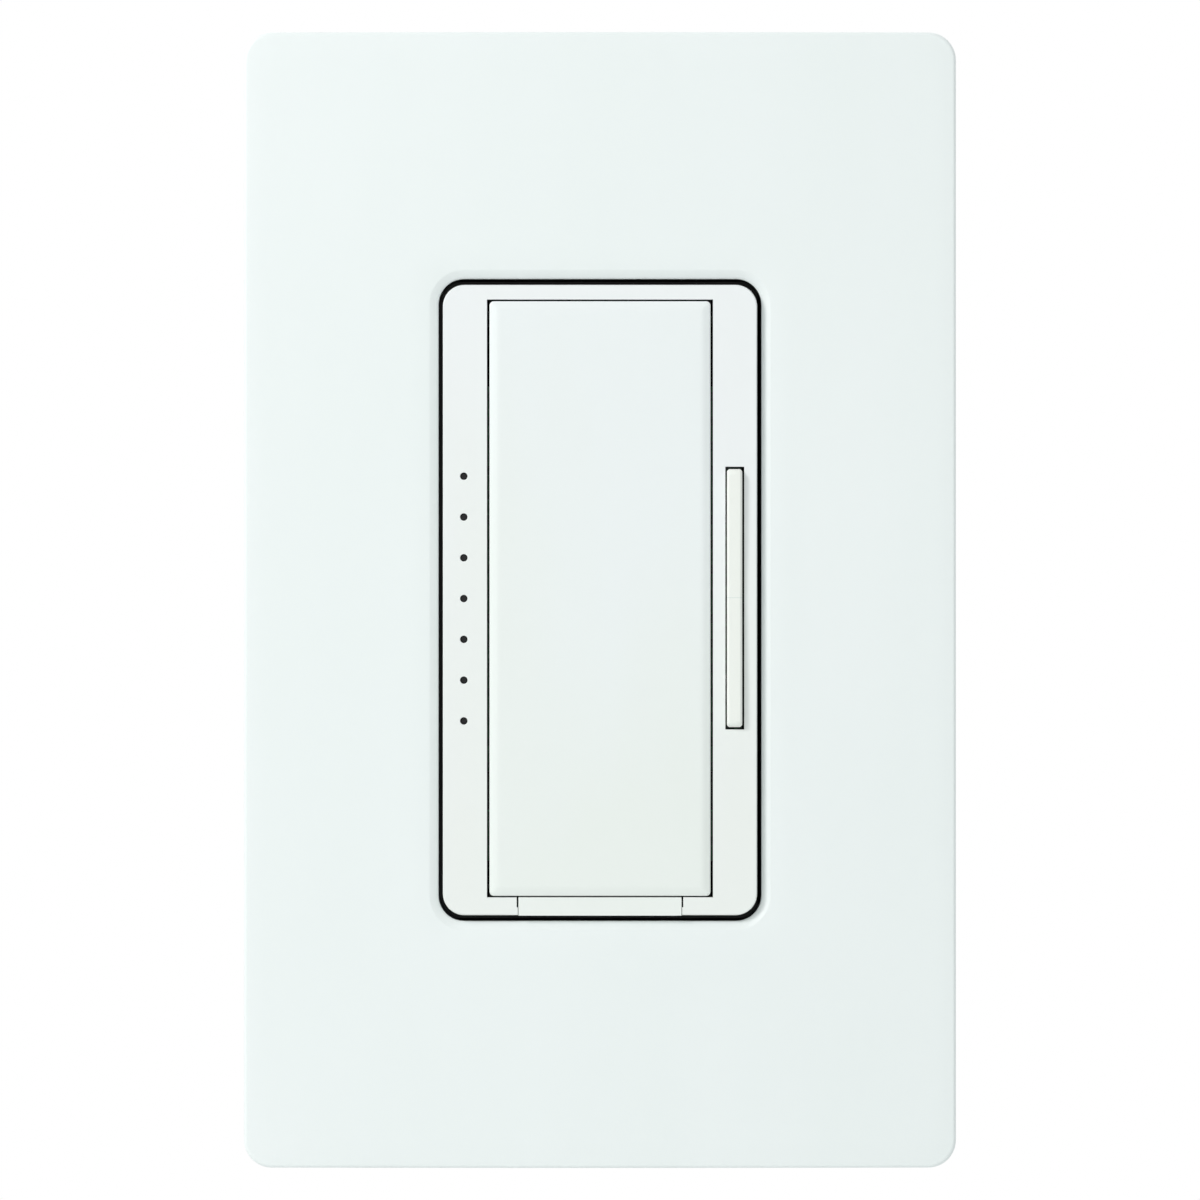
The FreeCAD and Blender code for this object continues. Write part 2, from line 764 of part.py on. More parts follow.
def make_wallplate_cover():
    body = new_body("CoverBody")
    outline = sketch_on(body, "XZ_Plane", "0")
    draw_rounded_box(outline, centred("plate_width"), centred("plate_height"), "plate_corner")
    pad(body, outline, "plate_depth")

    section = sketch_on(body, "XY_Plane", "0")
    draw_crown(section)
    crown = pocket(body, section, f"plate_height + 2 * {PAST}")
    crown.Midplane = True
    round_edges(
        body, crown, lambda edge: edge.BoundBox.YMax < -value("plate_ceiling"), "plate_edge_round"
    )

    hollow = sketch_on(body, "XZ_Plane", "0")
    draw_box(hollow, centred("plate_inner_width"), centred("plate_inner_height"))
    pocket(body, hollow, "plate_ceiling", towards_normal=True)

    collar = sketch_on(body, "XZ_Plane", "adapter_front + rest_gap")
    draw_box(
        collar,
        centred("opening_width + 2 * collar_wall"),
        centred("opening_height + 2 * collar_wall"),
    )
    pad(body, collar, "plate_ceiling - adapter_front - rest_gap + plate_skin / 2")

    opening = sketch_on(body, "XZ_Plane", f"plate_depth + {PAST}")
    draw_rounded_box(opening, centred("opening_width"), centred("opening_height"), "opening_corner")
    opened = pocket(body, opening, f"plate_depth + {PAST}")
    bevel_edges(
        body,
        opened,
        lambda edge: edge.BoundBox.YMax < -value("plate_ceiling + plate_skin / 2")
        and lies_within(edge, "opening_width / 2", "opening_height / 2"),
        "lip_width",
        "lip_depth",
    )

    ledges = sketch_on(body, "XZ_Plane", "snap_thickness")
    for side in ("-", ""):
        for level in ("-side_snap_offset", "side_snap_offset"):
            columns = mirrored_range(side, "plate_inner_width / 2 - snap_reach", "plate_inner_width / 2")
            draw_box(ledges, columns, around(level, "snap_length / 2"))
    pad(body, ledges, "snap_thickness")

    notch = sketch_on(body, "XZ_Plane", "0")
    notch_levels = (f"-plate_height / 2 - {PAST}", "-plate_height / 2 + notch_cut")
    draw_box(notch, centred("notch_width"), notch_levels)
    pocket(body, notch, "notch_depth", towards_normal=True)
    finish(body, "wallplate_cover")


# Wall plate adapter: the frame behind the cover, with a raised rim and ways for the screws


def make_wallplate_adapter():
    body = new_body("AdapterBody")
    outline = sketch_on(body, "XZ_Plane", "strap_thickness")
    draw_box(outline, centred("adapter_width"), centred("adapter_height"))
    pad(body, outline, "adapter_rim_front - strap_thickness")

    tray = sketch_on(body, "XZ_Plane", "adapter_rim_front")
    draw_box(
        tray,
        centred("adapter_width - 2 * adapter_rim_width"),
        centred("adapter_height - 2 * adapter_rim_width"),
    )
    pocket(body, tray, "adapter_rim_front - adapter_front")

    window = sketch_on(body, "XZ_Plane", "adapter_front")
    draw_box(
        window,
        centred("flange_width + 2 * adapter_window_gap"),
        centred("flange_height + 2 * adapter_window_gap"),
    )
    for side in ("-", ""):
        draw_circle(window, "0", f"{side}plate_screw_level", "plate_screw_radius + shank_play")
        well_level = around(f"{side}box_screw_level", "screw_well_half")
        draw_box(window, either_side("screw_well_half"), well_level)
    pocket(body, window, "adapter_thickness")
    finish(body, "wallplate_adapter")


# Screws with a wide head and a driver slot


def slotted_screw(head, shank, slot):
    return cut(fuse(head, shank), slot)


def make_adapter_screws():
    screws = []
    for side in ("-", ""):
        level = f"{side}plate_screw_level"
        head_front = "adapter_front + plate_screw_head_height"
        slot = block(
            either_side(f"plate_screw_head_radius + {PAST}"),
            (f"{head_front} - driver_slot_depth", f"{head_front} + {PAST}"),
            around(level, "driver_slot_width / 2"),
        )
        head = stud("0", level, "plate_screw_head_radius", ("adapter_front", head_front))
        shank_front = ("adapter_front - plate_screw_length", "adapter_front")
        shank = stud("0", level, "plate_screw_radius", shank_front)
        screws.append(slotted_screw(head, shank, slot))
    finish(group(screws), "adapter_screws")


# Mounting strap: the punched aluminium yoke that holds the device in the box and cools the triac


def make_mounting_strap():
    body = new_body("StrapBody")
    outline = sketch_on(body, "XZ_Plane", "0")
    quarter = [
        ("ear_width / 2", "strap_ear_end"),
        ("ear_width / 2", "strap_panel_end"),
        ("strap_panel_side", "strap_panel_end"),
    ]
    draw_outline(outline, mirrored_outline(quarter))
    plate = pad(body, outline, "strap_thickness")
    bevel_edges(
        body,
        plate,
        lambda edge: stands_at(edge, "ear_width / 2", "strap_ear_end", "strap_thickness")
        or stands_at(edge, "strap_panel_side", "strap_panel_end", "strap_thickness"),
        "strap_corner",
        "strap_corner",
    )

    holes = sketch_on(body, "XZ_Plane", "strap_thickness")
    for side in ("-", ""):
        draw_circle(holes, "0", f"{side}box_screw_level", "box_hole_radius")
        draw_circle(holes, "0", f"{side}plate_screw_level", "plate_screw_radius + thread_play")
    for column, level in case_screw_places():
        draw_circle(holes, column, level, "case_screw_radius + shank_play")
    draw_box(holes, centred("strap_window_width"), ("-strap_window_low", "strap_window_top"))
    draw_box(
        holes,
        centred("clip_width + 2 * clip_play"),
        ("clip_low - clip_play", "clip_top + clip_play"),
    )
    pocket(body, holes, "strap_thickness")

    scores = sketch_on(body, "XZ_Plane", "strap_thickness")
    for side in ("-", ""):
        columns = around(f"{side}(cover_side + score_gap)", "score_width / 2")
        draw_box(scores, columns, either_side(f"strap_panel_end + {PAST}"))
    pocket(body, scores, "score_depth")

    tab = sketch_on(body, "XZ_Plane", "-ground_tab_length")
    draw_box(
        tab,
        ("-ground_tab_left", "-ground_tab_left + ground_tab_width"),
        ("-strap_panel_end", "-ground_tab_inner"),
    )
    pad(body, tab, "ground_tab_length + strap_thickness / 2")

    tapped = sketch_on(body, "XY_Plane", "-strap_panel_end")
    draw_circle(tapped, "ground_column", "ground_screw_depth", "ground_screw_radius + thread_play")
    pocket(body, tapped, "ground_tab_thickness", towards_normal=True)
    finish(body, "mounting_strap")


def make_ground_screw():
    low = "-strap_panel_end"
    depth = "-ground_screw_depth"
    head_low = f"{low} - ground_head_height"
    head = post("ground_column", depth, (head_low, low), "ground_head_radius")
    shank = post("ground_column", depth, (low, "-ground_tab_inner + ground_tip"), "ground_screw_radius")
    slot = block(
        around("ground_column", f"(ground_head_radius + {PAST})"),
        around(depth, "driver_slot_width / 2"),
        (f"{head_low} - {PAST}", f"{head_low} + driver_slot_depth"),
    )
    finish(slotted_screw(head, shank, slot), "ground_screw")


# Bezel: the front moulding, with the paddle's aperture, the rocker's slot and the light holes


def make_bezel():
    body = new_body("BezelBody")
    outline = sketch_on(body, "XZ_Plane", "strap_thickness")
    draw_rounded_box(outline, centred("bezel_width"), centred("bezel_height"), "bezel_corner")
    tower = pad(body, outline, "bezel_depth")
    bevel_edges(
        body, tower, lambda edge: lies_at_front(edge, "bezel_face"), "bezel_edge", "bezel_edge"
    )

    flange = sketch_on(body, "XZ_Plane", "strap_thickness")
    draw_box(flange, centred("flange_width"), centred("flange_height"))
    pad(body, flange, "flange_thickness")

    hollow = sketch_on(body, "XZ_Plane", "strap_thickness")
    draw_box(hollow, either_side("bezel_inner_side"), either_side("bezel_inner_end"))
    pocket(body, hollow, "bezel_wall_back - strap_thickness", towards_normal=True)

    bosses = sketch_on(body, "XZ_Plane", "strap_thickness")
    for side_x in ("-", ""):
        for side_z in ("-", ""):
            columns = ("case_screw_column - boss_half", "bezel_inner_side + bezel_side_wall / 2")
            levels = ("case_screw_level - boss_half", "bezel_inner_end + bezel_side_wall / 2")
            draw_box(bosses, mirrored_range(side_x, *columns), mirrored_range(side_z, *levels))
    pad(body, bosses, "bezel_wall_back - strap_thickness + bezel_face_wall / 2")

    hinge_ears = sketch_on(body, "XZ_Plane", "hinge_front - trunnion_radius - ear_wall")
    for side in ("-", ""):
        columns = mirrored_range(side, "aperture_side + ear_play", "aperture_side + ear_reach")
        draw_box(hinge_ears, columns, around("hinge_level", "(trunnion_radius + ear_wall)"))
    pad(body, hinge_ears, "hinge_back + trunnion_radius + ear_wall + bezel_face_wall / 2")

    rocker_ear = sketch_on(body, "XZ_Plane", "rocker_hub_back")
    ear_start = "aperture_side + rocker_ear_gap"
    draw_box(
        rocker_ear,
        (ear_start, f"{ear_start} + rocker_ear_wall"),
        around("rocker_level", "rocker_ear_half"),
    )
    pad(body, rocker_ear, "bezel_wall_back - rocker_hub_back + bezel_face_wall / 2")

    posts = sketch_on(body, "XZ_Plane", "control_board_front")
    pegs = sketch_on(body, "XZ_Plane", "control_board_back")
    for column, level in board_peg_places():
        draw_box(posts, around(column, "board_post_half"), around(level, "board_post_half"))
        draw_box(pegs, around(column, "board_peg_half"), around(level, "board_peg_half"))
    pad(body, posts, "bezel_wall_back - control_board_front + bezel_face_wall / 2")
    pad(body, pegs, "board_thickness + bezel_face_wall / 2")

    front = sketch_on(body, "XZ_Plane", "bezel_face")
    draw_box(front, either_side("aperture_side"), ("-aperture_low", "aperture_top"))
    draw_box(front, ("slot_near", "slot_near + slot_width"), around("rocker_level", "slot_length / 2"))
    for level in row_of("light_count", "light_level", "light_pitch"):
        draw_circle(front, "-light_column", level, "light_hole_radius")
    pocket(body, front, "bezel_face_wall")

    notch = sketch_on(body, "XZ_Plane", "bezel_face")
    step = "tab_top - tab_step_drop"
    half_notch = [
        ("tab_side + tab_step_gap", f"-bezel_end - {PAST}"),
        ("tab_side + tab_step_gap", step),
        ("tab_side + tab_side_gap", step),
        ("tab_side + tab_side_gap", f"tab_top + {PAST}"),
    ]
    other_half = [(f"-({x})", z) for x, z in reversed(half_notch)]
    draw_outline(notch, half_notch + other_half)
    pocket(body, notch, "bezel_face - flange_front")

    stem_way = sketch_on(body, "XZ_Plane", "flange_front")
    draw_box(
        stem_way,
        centred("stem_width + 2 * stem_play"),
        ("-stem_low - stem_play", f"-stem_top + {PAST}"),
    )
    pocket(body, stem_way, "flange_thickness")

    hinge = sketch_on(body, "YZ_Plane", "-aperture_side - trunnion_length")
    draw_circle(hinge, "-hinge_front", "hinge_level", "trunnion_radius + pivot_play")
    pocket(body, hinge, "2 * (aperture_side + trunnion_length)", towards_normal=True)

    pivot = sketch_on(body, "YZ_Plane", "rocker_middle - rocker_pin_length / 2 - pivot_play")
    draw_circle(pivot, "-rocker_pivot_front", "rocker_level", "rocker_pin_radius + pivot_play")
    pocket(body, pivot, "rocker_pin_length + 2 * pivot_play", towards_normal=True)

    screw_holes = sketch_on(body, "XZ_Plane", "strap_thickness")
    for column, level in case_screw_places():
        draw_circle(screw_holes, column, level, "case_screw_radius + thread_play")
    pocket(
        body, screw_holes, "case_screw_reach + screw_tip_gap - strap_thickness", towards_normal=True
    )
    finish(body, "bezel")


def board_peg_places():
    """Where the bezel's four pegs pass through the control board."""
    levels = ("control_board_top - board_post_inset", "-control_board_low + board_post_inset")
    return [(f"{side}(board_post_column)", level) for side in ("-", "") for level in levels]


# Tap paddle: a shallow tray with a bevelled face, hinged on two trunnions at its top


def make_tap_paddle():
    body = new_body("PaddleBody")
    outline = sketch_on(body, "XZ_Plane", "paddle_skirt_back")
    draw_box(outline, either_side("paddle_side"), ("paddle_low", "paddle_top"))
    tray = pad(body, outline, "paddle_skirt_depth")
    bevel_edges(
        body, tray, lambda edge: lies_at_front(edge, "paddle_face"), "paddle_proud", "paddle_bevel"
    )

    hollow = sketch_on(body, "XZ_Plane", "paddle_skirt_back")
    draw_box(
        hollow,
        either_side("paddle_side - paddle_skirt"),
        ("paddle_low + paddle_skirt", "paddle_top - paddle_skirt"),
    )
    pocket(body, hollow, "paddle_skirt_depth - paddle_skin", towards_normal=True)

    ribs = sketch_on(body, "XZ_Plane", "paddle_skin_back - paddle_rib_depth")
    for step in (-1, 0, 1):
        level = around(f"paddle_rib_middle + ({step}) * paddle_rib_pitch", "paddle_skirt / 2")
        draw_box(ribs, either_side("paddle_side - paddle_skirt / 2"), level)
    pad(body, ribs, "paddle_rib_depth + paddle_skin / 2")

    boss = sketch_on(body, "XZ_Plane", "paddle_boss_tip")
    draw_box(boss, either_side("paddle_boss_half"), around("-tap_switch_level", "paddle_boss_half"))
    pad(body, boss, "paddle_boss_length + paddle_skin / 2")

    cheeks = sketch_on(body, "XZ_Plane", "hinge_front - trunnion_radius")
    lugs = sketch_on(body, "XZ_Plane", "lug_front - lug_thickness")
    for side in ("-", ""):
        skirt = mirrored_range(side, "paddle_side - paddle_skirt", "paddle_side")
        draw_box(cheeks, skirt, around("hinge_level", "cheek_half_height"))
        lug = mirrored_range(side, "paddle_side - paddle_skirt", "paddle_side + lug_reach")
        draw_box(lugs, lug, around("-lug_level", "lug_height / 2"))
    pad(body, cheeks, "paddle_skin_back - hinge_front + trunnion_radius + paddle_skin / 2")
    pad(body, lugs, "lug_thickness")

    for start in ("-paddle_side - trunnion_length", "paddle_side - trunnion_root"):
        trunnion = sketch_on(body, "YZ_Plane", start)
        draw_circle(trunnion, "-hinge_front", "hinge_level", "trunnion_radius")
        pad(body, trunnion, "trunnion_length + trunnion_root")
    finish(body, "tap_paddle")


# Rocker: a slim bar on a centre pivot, with a leg above each snap dome


def make_dim_rocker():
    body = new_body("RockerBody")
    profile = sketch_on(body, "YZ_Plane", "rocker_middle")
    low, top = around("rocker_level", "rocker_half_length")
    points = [
        ("-rocker_face", low),
        ("-rocker_face + rocker_valley", "rocker_level"),
        ("-rocker_face", top),
        ("-rocker_back", top),
    ]
    feet = [
        ("rocker_level + rocker_leg_offset", "rocker_leg_half", "rocker_leg_tip"),
        ("rocker_level", "rocker_hub_half", "rocker_hub_back"),
        ("rocker_level - rocker_leg_offset", "rocker_leg_half", "rocker_leg_tip"),
    ]
    for middle, half, tip in feet:
        under, over = around(middle, half)
        points.extend([("-rocker_back", over), (f"-({tip})", over)])
        points.extend([(f"-({tip})", under), ("-rocker_back", under)])
    points.append(("-rocker_back", low))
    draw_outline(profile, points)
    bar = pad_both_ways(body, profile, "rocker_width")

    def is_nose(edge):
        box = edge.BoundBox
        at_face = abs(box.YMax + value("rocker_face")) < NEAR
        return at_face and box.XLength > value("rocker_width") - NEAR

    def is_long_edge(edge):
        box = edge.BoundBox
        return box.YMax < -value("bezel_face") and box.XLength < NEAR

    nosed = round_edges(body, bar, is_nose, "rocker_nose")
    bevel_edges(body, nosed, is_long_edge, "rocker_edge", "rocker_edge")

    pin = sketch_on(body, "YZ_Plane", "rocker_middle")
    draw_circle(pin, "-rocker_pivot_front", "rocker_level", "rocker_pin_radius")
    pad_both_ways(body, pin, "rocker_pin_length")
    finish(body, "dim_rocker")


# Service tab: pulled out by a fingernail, its stem lifts a contact bridge off two fixed contacts


def make_service_tab():
    face = block(either_side("tab_side"), ("tab_back", "bezel_face"), ("tab_low", "tab_top"))
    stem_front = ("-contact_front", f"tab_back + {PAST}")
    stem = block(centred("stem_width"), stem_front, ("-stem_low", "-stem_top"))
    finish(fuse(face, stem), "service_tab")
    bridge = block(
        either_side("bridge_side"), ("-contact_back", "-contact_front"), ("-bridge_low", "-bridge_top")
    )
    finish(bridge, "service_contact_bridge")


def make_service_fixed_contacts():
    contacts = []
    shoulder = "-contact_back - contact_button_height"
    for side in ("-", ""):
        column = f"{side}(contact_column)"
        base = block(
            around(column, "contact_width / 2"),
            ("-power_board_depth", shoulder),
            ("-bridge_low", "-bridge_top"),
        )
        button = block(
            around(column, "contact_button_half"),
            (shoulder, "-contact_back"),
            around("-(bridge_low + bridge_top) / 2", "contact_button_half"),
        )
        contacts.append(fuse(base, button))
    finish(group(contacts), "service_fixed_contacts")


# Level lights: seven chips on the board behind one tinted bar


def make_lights():
    levels = row_of("light_count", "light_level", "light_pitch")
    chips = [
        block(
            around("-light_column", "light_chip_width / 2"),
            ("control_board_front", "control_board_front + light_chip_height"),
            around(level, "light_chip_width / 2"),
        )
        for level in levels
    ]
    finish(group(chips), "status_leds")
    bar = block(
        around("-light_column", "light_bar_width / 2"),
        ("light_bar_back", "bezel_wall_back"),
        (f"{levels[0]} - light_bar_overrun", f"{levels[-1]} + light_bar_overrun"),
    )
    finish(bar, "light_pipe_bar")


# Control board behind the bezel, with its switches and controller


def make_control_board():
    board = block(
        either_side("control_board_side"),
        ("control_board_back", "control_board_front"),
        ("-control_board_low", "control_board_top"),
    )
    through = (f"control_board_back - {PAST}", f"control_board_front + {PAST}")
    half = "(board_peg_half + thread_play)"
    holes = [block(around(x, half), through, around(z, half)) for x, z in board_peg_places()]
    finish(cut(board, *holes), "control_board")


def make_tap_switch():
    level = "-tap_switch_level"
    housing = block(
        centred("tap_switch_size"),
        ("control_board_front", "tap_switch_front"),
        around(level, "tap_switch_size / 2"),
    )
    well_half = "(tap_plunger_half + pivot_play)"
    well_front = ("tap_plunger_back - tap_well_gap", f"tap_switch_front + {PAST}")
    well = block(either_side(well_half), well_front, around(level, well_half))
    finish(cut(housing, well), "tap_switch")
    half = "tap_plunger_half"
    plunger_front = ("tap_plunger_back", "tap_plunger_front")
    finish(block(either_side(half), plunger_front, around(level, half)), "tap_switch_plunger")


def make_snap_domes():
    for label, direction in (("brighten_dome", "+"), ("dim_dome", "-")):
        dome = doc.addObject("Part::Cone", "Dome")
        dome.Placement = Placement(Vector(), Rotation(Vector(1, 0, 0), 90))
        place(dome, "dome_column", "control_board_front", f"rocker_level {direction} rocker_leg_offset")
        bind(dome, "Radius1", "dome_radius")
        bind(dome, "Radius2", "dome_top_radius")
        bind(dome, "Height", "dome_height")
        finish(dome, label)


def make_microcontroller():
    half = "controller_size / 2"
    middle = "-controller_level"
    package_front = (
        "control_board_front + controller_standoff",
        "control_board_front + controller_height",
    )
    package = block(around("0", half), package_front, around(middle, half))
    lead_front = ("control_board_front", "control_board_front + controller_lead_thickness")
    leads = [
        block(
            either_side(f"{half} + controller_lead_reach"),
            lead_front,
            around(level, "controller_lead_width / 2"),
        )
        for level in row_of("controller_leads", middle, "controller_lead_pitch")
    ]
    finish(fuse(package, *leads), "microcontroller")


def make_board_header():
    level = "header_level"
    body = block(
        centred("header_pins * header_pitch"),
        ("-power_board_depth", "-power_board_depth + header_body"),
        around(level, "header_body / 2"),
    )
    pins = [
        block(
            around(column, "header_pin_width / 2"),
            ("-power_board_depth + header_body / 2", "control_board_back"),
            around(level, "header_pin_width / 2"),
        )
        for column in row_of("header_pins", "0", "header_pitch")
    ]
    finish(fuse(body, *pins), "board_header")


# Power board and what stands on it


def make_power_board():
    front = ("-power_board_back", "-power_board_depth")
    main = block(either_side("power_board_side"), front, either_side("power_board_end"))
    tongue = block(either_side("power_tongue_side"), front, ("-power_tongue_low", "0"))
    finish(fuse(main, tongue), "power_board")


def make_triac():
    width = centred("triac_width")
    pad_back = "-triac_pad_thickness"
    pad_sheet = block(
        either_side("triac_width / 2 + triac_pad_border"),
        (pad_back, "0"),
        ("triac_low - triac_pad_border", "triac_top + clip_gap / 2"),
    )
    finish(pad_sheet, "triac_pad")

    tab = block(width, (f"{pad_back} - triac_tab_thickness", pad_back), ("triac_low", "triac_top"))
    body = block(
        width,
        ("-triac_back", f"{pad_back} - triac_tab_thickness / 2"),
        ("triac_low", "triac_low + triac_body_length"),
    )
    leads = []
    lead_back = f"{pad_back} - triac_lead_depth - triac_lead_thickness / 2"
    lead_front = f"{pad_back} - triac_lead_depth + triac_lead_thickness / 2"
    lead_low = "triac_low - triac_lead_drop"
    for column in row_of("triac_leads", "0", "triac_lead_pitch"):
        columns = around(column, "triac_lead_width / 2")
        leads.append(block(columns, (lead_back, lead_front), (lead_low, "triac_low + triac_lead_drop")))
        leads.append(
            block(
                columns,
                ("-power_board_depth", lead_front),
                (f"{lead_low} - triac_lead_thickness", lead_low),
            )
        )
    finish(fuse(tab, body, *leads), "triac")


def make_triac_clip():
    """A spring strip hooked over the strap through its slot, pressing on the triac's back."""
    width = centred("clip_width")
    clip_back = "-triac_back - clip_thickness"
    clip_front = "strap_thickness + clip_thickness"
    hook = block(width, ("strap_thickness", clip_front), ("clip_top - clip_hook", "clip_top"))
    bend = block(width, (clip_back, clip_front), ("clip_low", "clip_top"))
    arm_low = "triac_low + triac_body_length - clip_overlap"
    arm = block(width, (clip_back, "-triac_back"), (arm_low, "clip_top"))
    finish(fuse(hook, bend, arm), "triac_clip")


def make_choke():
    """A wound ferrite bar lying across the board."""
    axis_depth = "-power_board_back - choke_winding_half"
    core_half = "choke_core_half"
    core = block(
        either_side("choke_side"), around(axis_depth, core_half), around("choke_level", core_half)
    )
    finish(core, "choke_core")

    body = new_body("WindingBody")
    section = sketch_on(body, "YZ_Plane", "0")
    depth = "power_board_back + choke_winding_half"
    winding_half = "choke_winding_half"
    draw_rounded_box(
        section, around(depth, winding_half), around("choke_level", winding_half), "winding_corner"
    )
    bore_half = "(choke_core_half + thread_play)"
    draw_box(section, around(depth, bore_half), around("choke_level", bore_half))
    pad_both_ways(body, section, "2 * (choke_side - choke_core_end)")
    finish(body, "choke_winding")


def make_capacitors():
    back = "-power_board_back"
    film = block(
        centred("film_width"),
        (f"{back} - film_depth", back),
        ("-film_top - film_height", "-film_top"),
    )
    finish(film, "film_capacitor")
    can = stud("-filter_column", "-filter_level", "filter_radius", ("-filter_back", back))
    finish(can, "filter_capacitor")


def make_surge_absorber():
    level = "-absorber_level"
    back = "-power_board_back"
    depth = f"{back} - absorber_standoff - absorber_radius"
    disc = post("absorber_column", depth, around(level, "absorber_thickness / 2"), "absorber_radius")
    leads = [
        block(
            around(column, "absorber_lead / 2"), (depth, back), around(level, "absorber_lead / 2")
        )
        for column in around("absorber_column", "absorber_radius / 2")
    ]
    finish(fuse(disc, *leads), "surge_absorber")


# Back cover: a housing with stepped corners for the screws and three terminal recesses


def terminal_sides():
    """Each terminal's side of the cover and its level."""
    return [("", "terminal_level"), ("", "-terminal_level"), ("-", "terminal_level")]


def step_outline(inset):
    """The plus-shaped outline of the deep part, with every edge moved inwards by the inset."""
    quarter = [
        (f"step_side - {inset}", f"cover_end - {inset}"),
        (f"step_side - {inset}", f"step_level - {inset}"),
        (f"cover_side - {inset}", f"step_level - {inset}"),
    ]
    return mirrored_outline(quarter)


def make_back_cover():
    body = new_body("BackCoverBody")
    deep = sketch_on(body, "XZ_Plane", "-cover_depth")
    draw_outline(deep, step_outline("0"))
    deep_pad = pad(body, deep, "cover_depth - step_depth")

    def is_outer_corner(edge):
        length = "cover_depth - step_depth"
        at_end = stands_at(edge, "step_side", "cover_end", length)
        return at_end or stands_at(edge, "cover_side", "step_level", length)

    corners = round_edges(body, deep_pad, is_outer_corner, "cover_corner")
    bevel_edges(
        body, corners, lambda edge: lies_at_front(edge, "-cover_depth"), "cover_edge", "cover_edge"
    )

    skirt = sketch_on(body, "XZ_Plane", "-step_depth")
    draw_box(skirt, either_side("cover_side"), either_side("cover_end"))
    skirt_pad = pad(body, skirt, "step_depth")
    bevel_edges(
        body,
        skirt_pad,
        lambda edge: stands_at(edge, "cover_side", "cover_end", "step_depth"),
        "skirt_corner",
        "skirt_corner",
    )

    shallow = sketch_on(body, "XZ_Plane", "0")
    draw_box(shallow, either_side("inner_side"), either_side("inner_end"))
    pocket(body, shallow, "step_depth - step_floor")

    inside = sketch_on(body, "XZ_Plane", "0")
    draw_outline(inside, step_outline("cover_wall"))
    pocket(body, inside, "cover_depth - cover_floor")

    bosses = sketch_on(body, "XZ_Plane", "-step_depth")
    holes = sketch_on(body, "XZ_Plane", "0")
    for column, level in four_corners("case_screw_column", "case_screw_level"):
        draw_box(bosses, around(column, "case_boss_half"), around(level, "case_boss_half"))
    for column, level in case_screw_places():
        draw_circle(holes, column, level, "case_screw_radius + shank_play")
    pad(body, bosses, "step_depth")
    pocket(body, holes, "step_depth")

    ribs = sketch_on(body, "XZ_Plane", "-cover_depth + cover_floor / 2")
    for side_x in ("-", ""):
        for side_z in ("-", ""):
            columns = ("power_board_side - support_overlap", "inner_side + cover_wall / 2")
            levels = ("power_board_end - 2 * support_rib", "power_board_end - support_rib")
            draw_box(ribs, mirrored_range(side_x, *columns), mirrored_range(side_z, *levels))
    pad(body, ribs, "cover_depth - cover_floor / 2 - power_board_back")

    wells = sketch_on(body, "XZ_Plane", "-terminal_far - terminal_floor")
    for side, level in terminal_sides():
        columns = mirrored_range(side, "terminal_inner", "inner_side + cover_wall / 2")
        draw_box(wells, columns, around(level, "(terminal_height / 2 + terminal_floor)"))
    pad(body, wells, "terminal_far - terminal_near + 2 * terminal_floor")

    for side, level in terminal_sides():
        recess = sketch_on(body, "YZ_Plane", f"{side}(cover_side)")
        draw_box(recess, ("terminal_near", "terminal_far"), around(level, "terminal_height / 2"))
        pocket(body, recess, "terminal_recess", towards_normal=side == "-")
        way = sketch_on(body, "YZ_Plane", f"{side}(cover_side)")
        depths = ("terminal_near", "terminal_screw_depth + terminal_screw_radius + shank_play")
        draw_box(way, depths, around(level, "(terminal_tongue_width / 2 + stem_play)"))
        pocket(body, way, "terminal_recess + terminal_floor + thread_play", towards_normal=side == "-")
    finish(body, "back_cover")


def make_case_screws():
    screws = []
    head_back = "-step_depth - case_head_height"
    for column, level in case_screw_places():
        head = stud(column, level, "case_head_radius", (head_back, "-step_depth"))
        shank = stud(column, level, "case_screw_radius", ("-step_depth", "case_screw_reach"))
        slot = block(
            around(column, f"(case_head_radius + {PAST})"),
            (f"{head_back} - {PAST}", f"{head_back} + driver_slot_depth"),
            around(level, "driver_slot_width / 2"),
        )
        screws.append(slotted_screw(head, shank, slot))
    finish(group(screws), "case_screws")


# Terminals: a forked brass plate in each recess, with a tongue to the board and a wide head screw


def make_terminal_plates():
    plates = []
    for side, level in terminal_sides():
        face = block(
            mirrored_range(side, "terminal_outer", "terminal_outer + terminal_plate_thickness"),
            ("-terminal_far + terminal_plate_inset", "-power_board_depth + terminal_plate_thickness"),
            around(level, "(terminal_height / 2 - terminal_plate_inset)"),
        )
        tongue_start = "power_board_side - terminal_tongue_overlap"
        tongue = block(
            mirrored_range(side, tongue_start, "terminal_outer + terminal_plate_thickness / 2"),
            ("-power_board_depth", "-power_board_depth + terminal_plate_thickness"),
            around(level, "terminal_tongue_width / 2"),
        )
        fork_end = f"terminal_outer + terminal_plate_thickness + {PAST}"
        fork = block(
            mirrored_range(side, f"terminal_outer - {PAST}", fork_end),
            (f"-terminal_far - {PAST}", "-terminal_screw_depth + terminal_screw_radius + thread_play"),
            around(level, "(terminal_screw_radius + thread_play)"),
        )
        plates.append(cut(fuse(face, tongue), fork))
    finish(group(plates), "terminal_plates")


